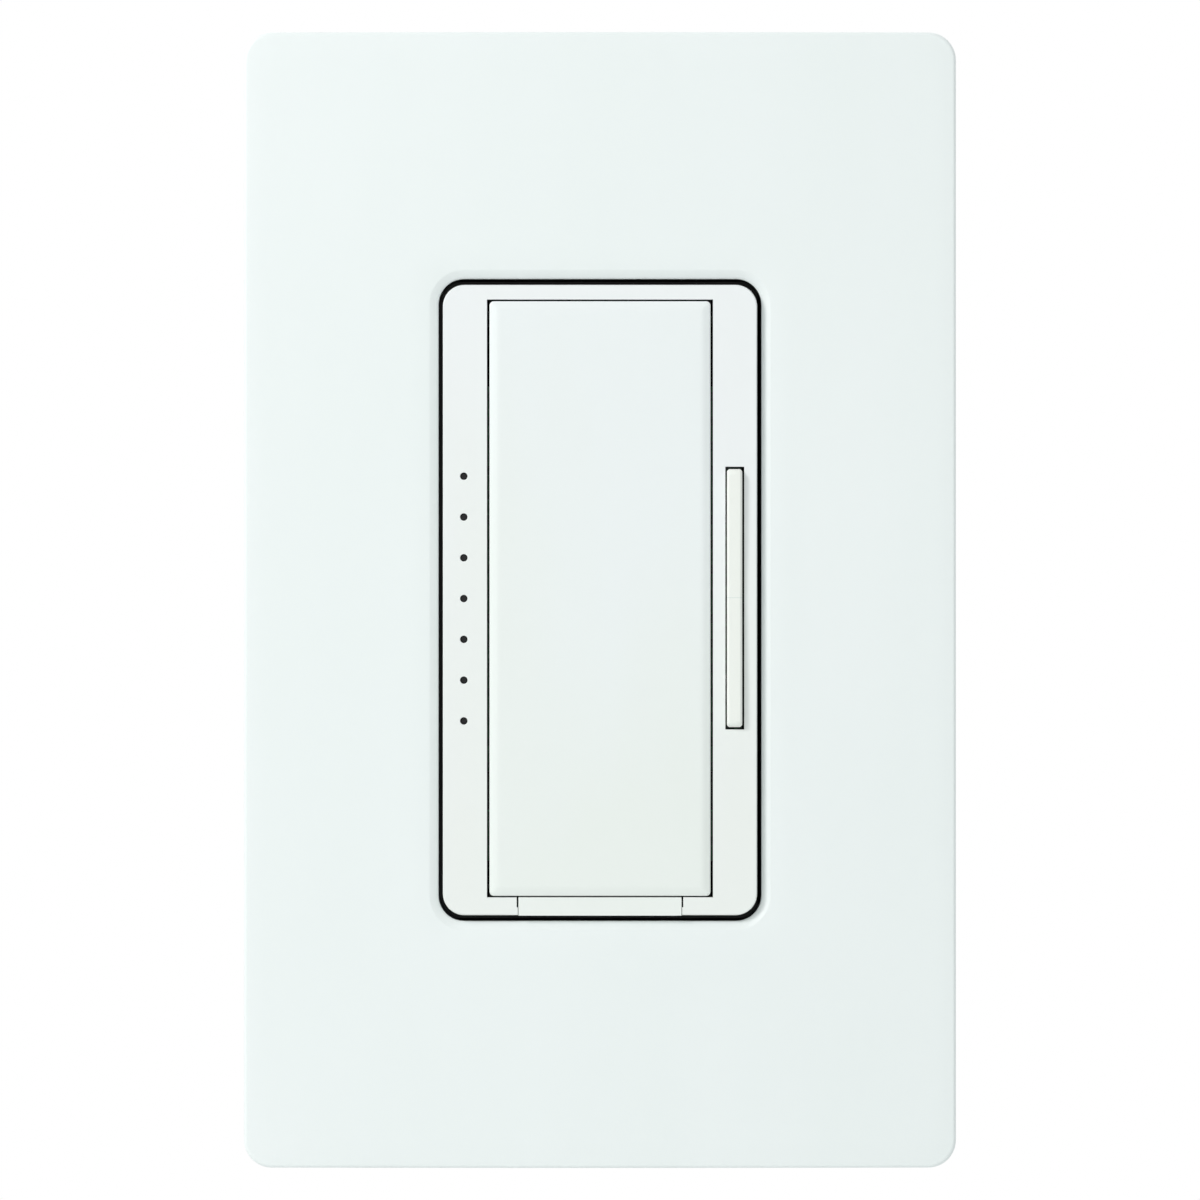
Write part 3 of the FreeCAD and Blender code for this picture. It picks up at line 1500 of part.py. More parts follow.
def make_terminal_screws():
    names = ("load_terminal_screw", "hot_terminal_screw", "traveler_terminal_screw")
    depth = "-terminal_screw_depth"
    head_start = "terminal_outer + terminal_plate_thickness + terminal_head_gap"
    head_end = f"{head_start} + terminal_head_height"
    for label, (side, level) in zip(names, terminal_sides()):
        head = shaft(mirrored_range(side, head_start, head_end), depth, level, "terminal_head_radius")
        shank_range = mirrored_range(side, "terminal_screw_end", head_start)
        shank = shaft(shank_range, depth, level, "terminal_screw_radius")
        slot = block(
            mirrored_range(side, f"{head_end} - driver_slot_depth", f"{head_end} + {PAST}"),
            around(depth, "driver_slot_width / 2"),
            around(level, f"(terminal_head_radius + {PAST})"),
        )
        finish(slotted_screw(head, shank, slot), label)


make_wallplate_cover()
make_wallplate_adapter()
make_adapter_screws()
make_mounting_strap()
make_ground_screw()
make_bezel()
make_tap_paddle()
make_dim_rocker()
make_service_tab()
make_service_fixed_contacts()
make_lights()
make_control_board()
make_tap_switch()
make_snap_domes()
make_microcontroller()
make_board_header()
make_power_board()
make_triac()
make_triac_clip()
make_choke()
make_capacitors()
make_surge_absorber()
make_back_cover()
make_case_screws()
make_terminal_screws()
make_terminal_plates()

doc.recompute()
for item in doc.Objects:
    if "Invalid" in item.State or "Error" in item.State:
        raise RuntimeError(f"{item.Label} could not be made: {item.State}")

os.makedirs("parts", exist_ok=True)
for node in NODES:
    if node.Shape.isNull() or not node.Shape.isValid():
        raise RuntimeError(f"{node.Label} has no valid shape")
    node.Shape.exportStep(f"parts/{node.Label}.step")
    print(node.Label, "solids", len(node.Shape.Solids), "volume", round(node.Shape.Volume, 2))
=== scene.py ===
import json
import math

import bmesh
import bpy
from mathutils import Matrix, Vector


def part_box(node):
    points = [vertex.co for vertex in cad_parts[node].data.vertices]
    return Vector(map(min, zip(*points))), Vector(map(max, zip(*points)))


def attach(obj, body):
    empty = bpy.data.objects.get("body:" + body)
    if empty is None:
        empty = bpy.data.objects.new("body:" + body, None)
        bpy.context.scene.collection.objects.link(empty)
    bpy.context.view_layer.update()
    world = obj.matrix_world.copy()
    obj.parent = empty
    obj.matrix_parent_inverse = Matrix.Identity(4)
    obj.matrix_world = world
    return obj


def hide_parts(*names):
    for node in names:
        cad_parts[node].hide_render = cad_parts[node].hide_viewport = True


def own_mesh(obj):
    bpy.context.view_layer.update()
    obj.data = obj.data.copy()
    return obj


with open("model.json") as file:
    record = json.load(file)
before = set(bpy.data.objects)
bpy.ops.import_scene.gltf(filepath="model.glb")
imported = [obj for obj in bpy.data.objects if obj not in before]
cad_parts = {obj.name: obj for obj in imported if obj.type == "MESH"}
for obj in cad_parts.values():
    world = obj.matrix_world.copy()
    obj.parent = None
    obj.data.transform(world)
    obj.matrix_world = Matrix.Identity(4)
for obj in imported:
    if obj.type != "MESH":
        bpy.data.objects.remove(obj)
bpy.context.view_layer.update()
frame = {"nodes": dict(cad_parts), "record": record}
NODES = frame["nodes"]

MM = 0.001
scene = bpy.context.scene
scene.view_settings.view_transform = "Standard"


# Colours are written as they look, in sRGB from 0 to 1


def linear(colour):
    def channel(c):
        return c / 12.92 if c <= 0.04045 else ((c + 0.055) / 1.055) ** 2.4

    return tuple(channel(c) for c in colour) + (1.0,)


# Helpers for nodes. Each returns the socket that it makes


def calculate(tree, operation, *terms):
    """A math node on sockets and numbers."""
    node = tree.nodes.new("ShaderNodeMath")
    node.operation = operation
    for end, term in zip(node.inputs, terms):
        if isinstance(term, bpy.types.NodeSocket):
            tree.links.new(term, end)
        else:
            end.default_value = term
    return node.outputs["Value"]


def spread(tree, value, start, end, low=0, high=1, interpolation="LINEAR"):
    """Takes a value that runs from start to end and makes it run from low to high."""
    node = tree.nodes.new("ShaderNodeMapRange")
    node.interpolation_type = interpolation
    tree.links.new(value, node.inputs["Value"])
    for key, number in (("From Min", start), ("From Max", end), ("To Min", low), ("To Max", high)):
        node.inputs[key].default_value = number
    return node.outputs["Result"]


def separated(tree, kind="Object"):
    """The X, Y and Z of the shaded point in the object's own coordinates, or of another kind."""
    coordinates = tree.nodes.new("ShaderNodeTexCoord")
    split = tree.nodes.new("ShaderNodeSeparateXYZ")
    tree.links.new(coordinates.outputs[kind], split.inputs["Vector"])
    return split.outputs


def lay_over(material, share, tone):
    """Mixes a tone over a material's colour by a share from 0 to 1."""
    tree = material.node_tree
    shader = tree.nodes["Principled BSDF"]
    mix = tree.nodes.new("ShaderNodeMix")
    mix.data_type = "RGBA"
    tree.links.new(share, mix.inputs["Factor"])
    tree.links.new(shader.inputs["Base Color"].links[0].from_socket, mix.inputs["A"])
    mix.inputs["B"].default_value = linear(tone)
    tree.links.new(mix.outputs["Result"], shader.inputs["Base Color"])


# Materials: each is built from nodes in the object's own coordinates

# Most values of a noise texture lie between these
NOISE_LOW, NOISE_HIGH = 0.3, 0.7

# How far the tone of a moulding drifts from its middle to its ends, as a share of the noise
DRIFT = 0.3


class Finish:
    """A principled material with small helpers for its procedural nodes."""

    def __init__(self, name, **sockets):
        self.material = bpy.data.materials.new(name)
        self.material.use_nodes = True
        self.tree = self.material.node_tree
        self.shader = self.tree.nodes["Principled BSDF"]
        for key, number in sockets.items():
            self.shader.inputs[key.replace("_", " ")].default_value = number
        self.coordinates = self.add("ShaderNodeTexCoord").outputs["Object"]

    def add(self, kind, **settings):
        node = self.tree.nodes.new(kind)
        for key, setting in settings.items():
            if key in node.inputs:
                node.inputs[key].default_value = setting
            else:
                setattr(node, key, setting)
        return node

    def link(self, start, end):
        self.tree.links.new(start, end)

    def stretched(self, scale):
        mapping = self.add("ShaderNodeMapping")
        mapping.inputs["Scale"].default_value = scale
        self.link(self.coordinates, mapping.inputs["Vector"])
        return mapping.outputs["Vector"]

    def noise(self, size, detail, roughness=0.5, vector=None):
        """Noise whose grains are about size millimetres across."""
        node = self.add("ShaderNodeTexNoise", Detail=detail, Roughness=roughness)
        node.inputs["Scale"].default_value = 1 / (size * MM)
        self.link(vector or self.coordinates, node.inputs["Vector"])
        return node.outputs["Fac"]

    def cells(self, size):
        node = self.add("ShaderNodeTexVoronoi", Scale=1 / (size * MM))
        self.link(self.coordinates, node.inputs["Vector"])
        return node.outputs["Distance"]

    def colour(self, value, *stops):
        """Colours the surface by stops of (value, colour)."""
        node = self.add("ShaderNodeValToRGB")
        self.link(value, node.inputs["Fac"])
        elements = node.color_ramp.elements
        while len(elements) < len(stops):
            elements.new(0.5)
        for element, (position, colour) in zip(elements, stops):
            element.position = position
            element.color = linear(colour)
        self.link(node.outputs["Color"], self.shader.inputs["Base Color"])

    def tones(self, noise, dark, light):
        self.colour(noise, (NOISE_LOW, dark), (NOISE_HIGH, light))

    def roughness(self, noise, low, high):
        varied = spread(self.tree, noise, NOISE_LOW, NOISE_HIGH, low, high)
        self.link(varied, self.shader.inputs["Roughness"])

    def bump(self, value, height, strength=1.0, after=None):
        """Raises the surface by up to height millimetres."""
        node = self.add("ShaderNodeBump", Strength=strength, Distance=height * MM)
        self.link(value, node.inputs["Height"])
        if after is not None:
            self.link(after, node.inputs["Normal"])
        self.link(node.outputs["Normal"], self.shader.inputs["Normal"])
        return node.outputs["Normal"]


def moulded(name, light, dark, low, high, grain=0.35, depth=0.004, reach=None):
    """A glossy moulding: a faint flow of tone, a varied gloss and a very fine skin.
    Where reach is given, the tone also drifts from dark to light over that half height."""
    finish = Finish(name, IOR=1.49, Specular_IOR_Level=0.38)
    flow = finish.noise(28, 2, 0.55, finish.stretched((1.6, 1, 0.5)))
    if reach:
        level = separated(finish.tree)["Z"]
        drift = spread(finish.tree, level, -reach * MM, reach * MM, -DRIFT, DRIFT)
        flow = calculate(finish.tree, "ADD", flow, drift)
    finish.tones(flow, dark, light)
    finish.roughness(finish.noise(6, 4, 0.6), low, high)
    skin = finish.bump(finish.noise(grain, 2), depth)
    finish.bump(finish.noise(9, 2), depth * 6, 0.5, after=skin)
    return finish.material


def grained(name, light, dark, low, high, grain=0.45, depth=0.03):
    """A matt moulding with a spark-eroded grain."""
    finish = Finish(name, IOR=1.5)
    finish.tones(finish.noise(3, 5, 0.65), dark, light)
    finish.roughness(finish.noise(2.2, 2), low, high)
    first = finish.bump(finish.cells(grain), depth, 0.6)
    finish.bump(finish.noise(grain / 2, 3), depth / 2, 0.6, after=first)
    return finish.material


def rolled(name, light, dark, low, high, along):
    """Sheet or turned metal with fine drawn lines along one axis and a few dull patches."""
    scale = [14.0, 14.0, 14.0]
    scale["xyz".index(along)] = 0.5
    finish = Finish(name, Metallic=1)
    lines = finish.noise(2.2, 5, 0.7, finish.stretched(scale))
    finish.tones(finish.noise(5, 4, 0.6), dark, light)
    finish.roughness(lines, low, high)
    finish.bump(lines, 0.003, 0.7)
    return finish.material


def coated(name, light, dark, low, high):
    """A coloured coat over metal, thin and slightly worn where it is light."""
    finish = Finish(name, Metallic=0.35, Coat_Weight=0.3)
    wear = finish.noise(0.7, 5, 0.65)
    worn = tuple(min(1, c * 1.4 + 0.06) for c in light)
    finish.colour(wear, (0.28, dark), (0.6, light), (0.78, worn))
    finish.roughness(finish.noise(1.4, 3), low, high)
    finish.bump(wear, 0.006, 0.6)
    return finish.material


def board_material(name):
    """Solder mask over copper: tracks show as a lighter green under the mask."""
    finish = Finish(name, Coat_Weight=0.4, IOR=1.5)
    tracks = finish.add("ShaderNodeTexBrick", Scale=1 / (5.2 * MM))
    tracks.inputs["Mortar Size"].default_value = 0.035
    tracks.inputs["Mortar Smooth"].default_value = 0.1
    for key, level in (("Color1", 0.25), ("Color2", 0.42), ("Mortar", 0.85)):
        tracks.inputs[key].default_value = (level, level, level, 1)
    upright = finish.add("ShaderNodeMapping")
    upright.inputs["Rotation"].default_value = (math.radians(90), 0, 0)
    finish.link(finish.coordinates, upright.inputs["Vector"])
    finish.link(upright.outputs["Vector"], tracks.inputs["Vector"])
    grey = finish.add("ShaderNodeRGBToBW")
    finish.link(tracks.outputs["Color"], grey.inputs["Color"])
    greens = ((0.2, (0.03, 0.22, 0.12)), (0.45, (0.08, 0.35, 0.2)), (0.9, (0.16, 0.47, 0.27)))
    finish.colour(grey.outputs["Val"], *greens)
    finish.roughness(finish.noise(1.2, 4), 0.28, 0.42)
    raised = finish.bump(grey.outputs["Val"], 0.03, 0.7)
    finish.bump(finish.noise(0.25, 2), 0.01, 0.5, after=raised)
    return finish.material


def winding_material(name):
    """Enamelled copper: a clear coat over metal whose tone drifts from turn to turn."""
    finish = Finish(name, Metallic=0.85, Coat_Weight=0.6)
    drift = finish.noise(1.6, 3, 0.6, finish.stretched((4, 1, 1)))
    coppers = ((0.3, (0.52, 0.23, 0.1)), (0.55, (0.68, 0.34, 0.16)), (0.75, (0.78, 0.43, 0.22)))
    finish.colour(drift, *coppers)
    finish.roughness(finish.noise(0.8, 3), 0.16, 0.32)
    finish.bump(finish.noise(0.3, 2), 0.006)
    return finish.material


# The mouldings of the front: light tone, dark tone and the half height that the tone drifts over
FRONT_ROUGHNESS = (0.36, 0.44)
FRONT = {
    "plate_plastic": ((0.945, 0.961, 0.959), (0.936, 0.955, 0.951), None),
    "bezel_plastic": ((0.947, 0.955, 0.957), (0.939, 0.949, 0.936), 33),
    "paddle_plastic": ((0.940, 0.955, 0.955), (0.932, 0.948, 0.932), 31),
    "rocker_plastic": ((0.953, 0.959, 0.937), (0.946, 0.953, 0.931), None),
    "tab_plastic": ((0.942, 0.955, 0.940), (0.934, 0.949, 0.932), None),
}

# Everything else: light tone, dark tone, the lowest and highest roughness, and for the first three
# kinds what their functions ask for besides
MOULDED = {
    "led_chip": ((0.88, 0.85, 0.64), (0.8, 0.76, 0.52), 0.2, 0.3, 0.15, 0.002),
    "smoked_plastic": ((0.12, 0.14, 0.15), (0.09, 0.11, 0.12), 0.12, 0.22),
    "capacitor_film": ((0.78, 0.66, 0.24), (0.68, 0.55, 0.16), 0.28, 0.4, 0.3, 0.006),
    "capacitor_sleeve": ((0.1, 0.11, 0.17), (0.06, 0.07, 0.12), 0.2, 0.32, 0.5, 0.01),
    "absorber_coating": ((0.14, 0.3, 0.58), (0.07, 0.19, 0.44), 0.16, 0.3, 1.2, 0.05),
}
GRAINED = {
    "adapter_plastic": ((0.89, 0.905, 0.9), (0.87, 0.885, 0.88), 0.45, 0.6),
    "cover_plastic": ((0.095, 0.095, 0.1), (0.072, 0.072, 0.077), 0.5, 0.58, 0.4, 0.014),
    "component_black": ((0.075, 0.075, 0.08), (0.045, 0.045, 0.05), 0.4, 0.58, 0.25, 0.012),
    "component_pale": ((0.8, 0.79, 0.75), (0.7, 0.69, 0.64), 0.4, 0.55, 0.25, 0.012),
    "thermal_pad": ((0.55, 0.57, 0.59), (0.44, 0.46, 0.48), 0.6, 0.8, 0.3, 0.02),
    "ferrite": ((0.24, 0.24, 0.25), (0.14, 0.14, 0.15), 0.4, 0.7, 0.3, 0.03),
}
ROLLED = {
    "zinc_steel": ((0.8, 0.81, 0.82), (0.66, 0.67, 0.7), 0.22, 0.42, "x"),
    "strap_aluminium": ((0.83, 0.84, 0.85), (0.78, 0.79, 0.81), 0.3, 0.46, "z"),
    "contact_metal": ((0.82, 0.62, 0.42), (0.66, 0.46, 0.3), 0.2, 0.36, "x"),
    "spring_steel": ((0.78, 0.78, 0.78), (0.62, 0.62, 0.64), 0.16, 0.34, "z"),
    "brass_screw": ((0.84, 0.69, 0.37), (0.7, 0.52, 0.24), 0.18, 0.34, "x"),
    "terminal_brass": ((0.8, 0.66, 0.38), (0.66, 0.5, 0.24), 0.22, 0.38, "z"),
}
COATED = {
    "green_screw": ((0.12, 0.46, 0.22), (0.07, 0.32, 0.15), 0.25, 0.42),
    "black_screw": ((0.08, 0.08, 0.08), (0.04, 0.04, 0.04), 0.3, 0.45),
    "blue_screw": ((0.1, 0.24, 0.56), (0.06, 0.15, 0.4), 0.25, 0.42),
}

MATERIALS = {
    name: moulded(name, light, dark, *FRONT_ROUGHNESS, reach=reach)
    for name, (light, dark, reach) in FRONT.items()
}
KINDS = ((moulded, MOULDED), (grained, GRAINED), (rolled, ROLLED), (coated, COATED))
for make, finishes in KINDS:
    for name, looks in finishes.items():
        MATERIALS[name] = make(name, *looks)
MATERIALS["circuit_board"] = board_material("circuit_board")
MATERIALS["copper_wire"] = winding_material("copper_wire")


def crease_shade_line(name, level, half, tone):
    """Paints a faint darker line across a piece at one height, in millimetres: painted shade along
    a crease.
    """
    material = MATERIALS[name]
    height = separated(material.node_tree)["Z"]
    near = calculate(material.node_tree, "COMPARE", height, level * MM, half * MM)
    lay_over(material, near, tone)


# The colour of the painted shade that stands in for the shade in narrow gaps
PAINTED_SHADE_TONE = (0.07, 0.08, 0.075)


def paint_gap_shade(name, shown, hidden, within=()):
    """Paints shade onto a piece below a front that only its narrow gaps show, in millimetres from
    the wall.
    The painted shade stands in for the shade in those gaps. Where within gives a half width and
    half height, only that much about the middle darkens."""
    material = MATERIALS[name]
    tree = material.node_tree
    place = separated(tree)
    share = spread(tree, place["Y"], -shown * MM, -hidden * MM)
    for axis, half in zip("XZ", within):
        inside = calculate(tree, "LESS_THAN", calculate(tree, "ABSOLUTE", place[axis]), half * MM)
        share = calculate(tree, "MULTIPLY", share, inside)
    lay_over(material, share, PAINTED_SHADE_TONE)


# Half width and half height of what shows through the bezel's openings, and through the plate's
BEHIND_BEZEL = (15.9, 32.2)
BEHIND_PLATE = (17.4, 34.1)

# Painted shade: a faint darker line along the crease where the rocker's two halves meet
crease_shade_line("rocker_plastic", 0.25, 0.05, (0.9, 0.92, 0.9))
# Painted shade: the sides of the bezel, plate, rocker and paddle below their fronts, and the strap
# behind the plate's opening, are darkened so that the narrow gaps look shaded
paint_gap_shade("bezel_plastic", 7.4, 6.8)
paint_gap_shade("bezel_plastic", 7.95, 7.65, BEHIND_BEZEL)
paint_gap_shade("plate_plastic", 7.0, 6.5, BEHIND_PLATE)
paint_gap_shade("rocker_plastic", 7.85, 7.5)
paint_gap_shade("paddle_plastic", 7.95, 7.65)
paint_gap_shade("strap_aluminium", 3, 2, BEHIND_PLATE)

SLOT_OF = {part["node"]: part["material_slot"] for part in frame["record"]["subparts"]}

# How wide the softened edges of each solid are, in millimetres
SOFT_EDGE = {
    "dim_rocker": 0.05,
    "service_tab": 0.08,
    "wallplate_adapter": 0.15,
    "mounting_strap": 0.12,
    "back_cover": 0.15,
    "control_board": 0.05,
    "power_board": 0.05,
    "film_capacitor": 0.6,
    "choke_core": 0.4,
    "light_pipe_bar": 0.1,
    "triac": 0.12,
    "microcontroller": 0.05,
}
USUAL_EDGE = 0.08

# How near two corners of a mesh are that are one in the solid, in metres, and the bends between two
# faces up to which they count as flat and from which on their edge is rounded
SAME_PLACE = 1e-6
FLAT_BEND, EDGE_BEND = math.radians(0.5), math.radians(32)


def hold_flat(thing, keep_sharp):
    """Keeps the flat faces flat in shading beside their rounded edges."""
    normals = thing.modifiers.new("normals", "WEIGHTED_NORMAL")
    normals.keep_sharp = keep_sharp
    normals.weight = 100


def soften(thing, width):
    """Joins the split corners of a solid's mesh and rounds its sharp edges."""
    weld = thing.modifiers.new("weld", "WELD")
    weld.merge_threshold = SAME_PLACE
    flat = thing.modifiers.new("flat", "DECIMATE")
    flat.decimate_type = "DISSOLVE"
    flat.angle_limit = FLAT_BEND
    bevel = thing.modifiers.new("bevel", "BEVEL")
    bevel.width = width * MM
    bevel.segments = 2
    bevel.limit_method = "ANGLE"
    bevel.angle_limit = EDGE_BEND
    hold_flat(thing, False)


for name, node in NODES.items():
    node.data.materials.clear()
    node.data.materials.append(MATERIALS[SLOT_OF[name]])
    soften(node, SOFT_EDGE.get(name, USUAL_EDGE))


# Mesh helpers. Points are (x, front, z) in millimetres, with front measured from the wall


def new_object(name, bm):
    """Turns a mesh under construction into an object."""
    mesh = bpy.data.meshes.new(name)
    bm.to_mesh(mesh)
    bm.free()
    thing = bpy.data.objects.new(name, mesh)
    scene.collection.objects.link(thing)
    return thing


def smooth(mesh, crease=35):
    """Shades a mesh smooth up to edges of so many degrees."""
    for polygon in mesh.polygons:
        polygon.use_smooth = True
    mesh.set_sharp_from_angle(angle=math.radians(crease))


def new_piece(name, bm, node, body="device"):
    """Makes the piece that stands for a node."""
    bmesh.ops.recalc_face_normals(bm, faces=bm.faces)
    thing = new_object(name, bm)
    smooth(thing.data)
    thing.data.materials.append(MATERIALS[SLOT_OF[node]])
    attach(thing, body)
    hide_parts(node)
    return thing


def solid_mesh(node):
    """The mesh of a node's solid, to build on."""
    bm = bmesh.new()
    bm.from_mesh(NODES[node].data)
    bmesh.ops.remove_doubles(bm, verts=bm.verts, dist=SAME_PLACE)
    return bm


def point(x, front, z):
    return Vector((x, -front, z)) * MM


def between(low, high, share):
    return low + (high - low) * share


def rounded_outline(half_x, half_z, radius, middle_z=0.0, corner=10, across=8, along=16):
    """The points of a rounded rectangle, in the same number and order whatever its size."""
    middles = [
        (half_x - radius, half_z - radius),
        (radius - half_x, half_z - radius),
        (radius - half_x, radius - half_z),
        (half_x - radius, radius - half_z),
    ]
    points = []
    for quarter, (x, z) in enumerate(middles):
        for step in range(corner + 1):
            turn = math.radians(90 * (quarter + step / corner))
            points.append((x + radius * math.cos(turn), middle_z + z + radius * math.sin(turn)))
        after = middles[(quarter + 1) % 4]
        turn = math.radians(90 * (quarter + 1))
        end = (after[0] + radius * math.cos(turn), middle_z + after[1] + radius * math.sin(turn))
        begin = points[-1]
        run = across if quarter % 2 == 0 else along
        for step in range(1, run):
            points.append(tuple(between(a, b, step / run) for a, b in zip(begin, end)))
    return points


def loft(bm, rings, closed=False):
    """Joins rings of as many points each by quads. The ends are joined too, or else capped."""
    loops = [[bm.verts.new(p) for p in ring] for ring in rings]
    pairs = list(zip(loops, loops[1:]))
    if closed:
        pairs.append((loops[-1], loops[0]))
    for first, second in pairs:
        for i in range(len(first)):
            j = (i + 1) % len(first)
            bm.faces.new((first[i], first[j], second[j], second[i]))
    if not closed:
        bm.faces.new(loops[0])
        bm.faces.new(loops[-1])


def soft_block(bm, x, front, z, edge):
    """A box with rounded edges. Its sides are pairs of (low, high)."""
    made = bmesh.ops.create_cube(bm, size=1)
    for vertex in made["verts"]:
        shares = (vertex.co.x + 0.5, 0.5 - vertex.co.y, vertex.co.z + 0.5)
        vertex.co = point(*(between(*side, share) for side, share in zip((x, front, z), shares)))
    edges = list({e for v in made["verts"] for e in v.link_edges})
    bmesh.ops.bevel(bm, geom=edges, offset=edge * MM, segments=2, profile=0.5, affect="EDGES")


def carve(thing, tools, operation="DIFFERENCE", crease=30):
    """Cuts meshes out of a piece, or joins them. Each is given as a function that fills it."""
    for fill in tools:
        bm = bmesh.new()
        fill(bm)
        bmesh.ops.recalc_face_normals(bm, faces=bm.faces)
        tool = new_object("tool", bm)
        boolean = thing.modifiers.new("cut", "BOOLEAN")
        boolean.operation = operation
        boolean.solver = "EXACT"
        boolean.object = tool
        bpy.context.view_layer.update()
        graph = bpy.context.evaluated_depsgraph_get()
        result = bpy.data.meshes.new_from_object(thing.evaluated_get(graph))
        thing.modifiers.clear()
        thing.data = result
        bpy.data.objects.remove(tool)
    smooth(thing.data, crease)
    bpy.context.view_layer.update()


# Steps along one turn of a thread, and how far apart two heights are that count as one
THREAD_STEPS = 6
SAME_HEIGHT = 1e-6


def turned(bm, origin, axis, profile, thread=None, segments=40):
    """A turned solid along an axis. The profile gives (height, radius) from one end to the other.
    A thread (start, end, pitch, depth) cuts a helical groove into it between two heights."""
    axis = Vector(axis).normalized()
    side = axis.orthogonal().normalized()
    other = axis.cross(side)
    start, end, pitch, depth = thread or (0, 0, 1, 0)
    heights = []
    for (low, first), (high, second) in zip(profile, profile[1:]):
        steps = 1
        if thread and low >= start - SAME_HEIGHT and high <= end + SAME_HEIGHT:
            steps = max(1, round((high - low) / pitch * THREAD_STEPS))
        for step in range(steps):
            share = step / steps
            heights.append((between(low, high, share), between(first, second, share)))
    heights.append(profile[-1])
    rings = []
    for height, radius in heights:
        ring = []
        for i in range(segments):
            turn = 2 * math.pi * i / segments
            r = radius
            if thread and start + SAME_HEIGHT < height < end - SAME_HEIGHT:
                phase = (height / pitch - i / segments) % 1
                r = radius - depth * abs(2 * phase - 1)
            spot = side * (r * math.cos(turn)) + other * (r * math.sin(turn)) + axis * height
            ring.append((Vector(origin) + spot) * MM)
        rings.append(ring)
    loft(bm, rings)


# Wall plate cover: a smooth shell lofted from the outer rim over the crowned face to the inner rim

PLATE_HALF_X, PLATE_HALF_Z, PLATE_CORNER = 37.35, 59.55, 2.9
PLATE_FRONT, PLATE_CROWN, PLATE_EDGE = 7.6, 0.6, 0.4
OPENING_HALF_X, OPENING_HALF_Z, OPENING_CORNER = 16.92, 33.65, 2.65
LIP_WIDTH, LIP_DEPTH = 0.9, 0.45
COLLAR_WALL, COLLAR_BACK = 1.2, 3.65
CEILING = 5.4
INNER_HALF_X, INNER_HALF_Z = 35.65, 57.85
NOTCH_HALF, NOTCH_FRONT, NOTCH_LEVELS = 4.5, 1.4, (-61, -58.35)
LEDGE_HALF, LEDGE_FRONTS, LEDGE_LEVEL = 4.5, (0.7, 1.4), 36
CROWN_RADIUS = (2 * PLATE_HALF_X) ** 2 / (8 * PLATE_CROWN) + PLATE_CROWN / 2


def plate_face(x):
    return PLATE_FRONT - (CROWN_RADIUS - math.sqrt(CROWN_RADIUS**2 - x * x))


def plate_ring(half_x, half_z, radius, drop=None, front=None):
    outline = rounded_outline(half_x, half_z, radius, across=14, along=20)
    return [point(x, plate_face(x) - drop if front is None else front, z) for x, z in outline]


def make_cover():
    bm = bmesh.new()
    outer = (PLATE_HALF_X, PLATE_HALF_Z, PLATE_CORNER)
    opening = (OPENING_HALF_X, OPENING_HALF_Z, OPENING_CORNER)

    def from_outer(inset, **place):
        return plate_ring(*(size - inset for size in outer), **place)

    def from_opening(reach, **place):
        return plate_ring(*(size + reach for size in opening), **place)

    rings = [from_outer(0.12, front=0), from_outer(0, front=0.12), from_outer(0, front=3)]
    for step in range(7):
        turn = math.radians(15 * step)
        inset = PLATE_EDGE * (1 - math.cos(turn))
        rings.append(from_outer(inset, drop=PLATE_EDGE * (1 - math.sin(turn))))
    # The crowned face, up to the lip
    face_start = [size - PLATE_EDGE for size in outer]
    face_end = [size + LIP_WIDTH + 0.1 for size in opening]
    for step in range(1, 10):
        sizes = (between(a, b, step / 10) for a, b in zip(face_start, face_end))
        rings.append(plate_ring(*sizes, drop=0))
    # The lip slopes down to the opening, which goes straight back
    lip = ((0.1, 0), (0.03, 0.012), (-0.04, 0.04))
    rings += [from_opening(LIP_WIDTH + reach, drop=drop) for reach, drop in lip]
    slope = LIP_DEPTH / LIP_WIDTH
    rings += [from_opening(reach, drop=slope * (LIP_WIDTH - reach)) for reach in (0.6, 0.3, 0.1)]
    rings += [from_opening(0.03, drop=LIP_DEPTH + 0.01), from_opening(0, drop=LIP_DEPTH + 0.09)]
    rings += [from_opening(0, front=CEILING), from_opening(0, front=COLLAR_BACK + 0.1)]
    rings.append(from_opening(0.1, front=COLLAR_BACK))
    # The back of the shell: outside of the collar, then inside of the outer wall
    collar = (OPENING_HALF_X + COLLAR_WALL, OPENING_HALF_Z + COLLAR_WALL)
    steps = ((0.1, COLLAR_BACK), (0, COLLAR_BACK + 0.1), (0, CEILING - 0.2), (-0.2, CEILING))
    for inset, front in steps:
        rings.append(plate_ring(collar[0] - inset, collar[1] - inset, 0.3, front=front))
    for inset, front in ((0.3, CEILING), (0, CEILING - 0.3), (0, 0.15), (-0.15, 0)):
        rings.append(plate_ring(INNER_HALF_X - inset, INNER_HALF_Z - inset, 0.5, front=front))
    loft(bm, rings, closed=True)
    cover = new_piece("plate_shell", bm, "wallplate_cover")
    notch = ((-NOTCH_HALF, NOTCH_HALF), (-1, NOTCH_FRONT), NOTCH_LEVELS)
    carve(cover, [lambda bm: soft_block(bm, *notch, 0.2)])

    def ledge(side, middle):
        columns = sorted((side * (INNER_HALF_X - 1), side * (INNER_HALF_X + 0.2)))
        levels = (middle - LEDGE_HALF, middle + LEDGE_HALF)
        return lambda bm: soft_block(bm, columns, LEDGE_FRONTS, levels, 0.15)

    ledges = [ledge(side, middle) for side in (-1, 1) for middle in (-LEDGE_LEVEL, LEDGE_LEVEL)]
    carve(cover, ledges, "UNION")


make_cover()

# Bezel: the solid's mesh with the rims of its face rounded. The small holes in that face would
# hold a bevel modifier back

BEZEL_FACE, AT_FACE = 8.2, 0.002
RIM_BEND, RIM_WIDTH = math.radians(50), 0.04


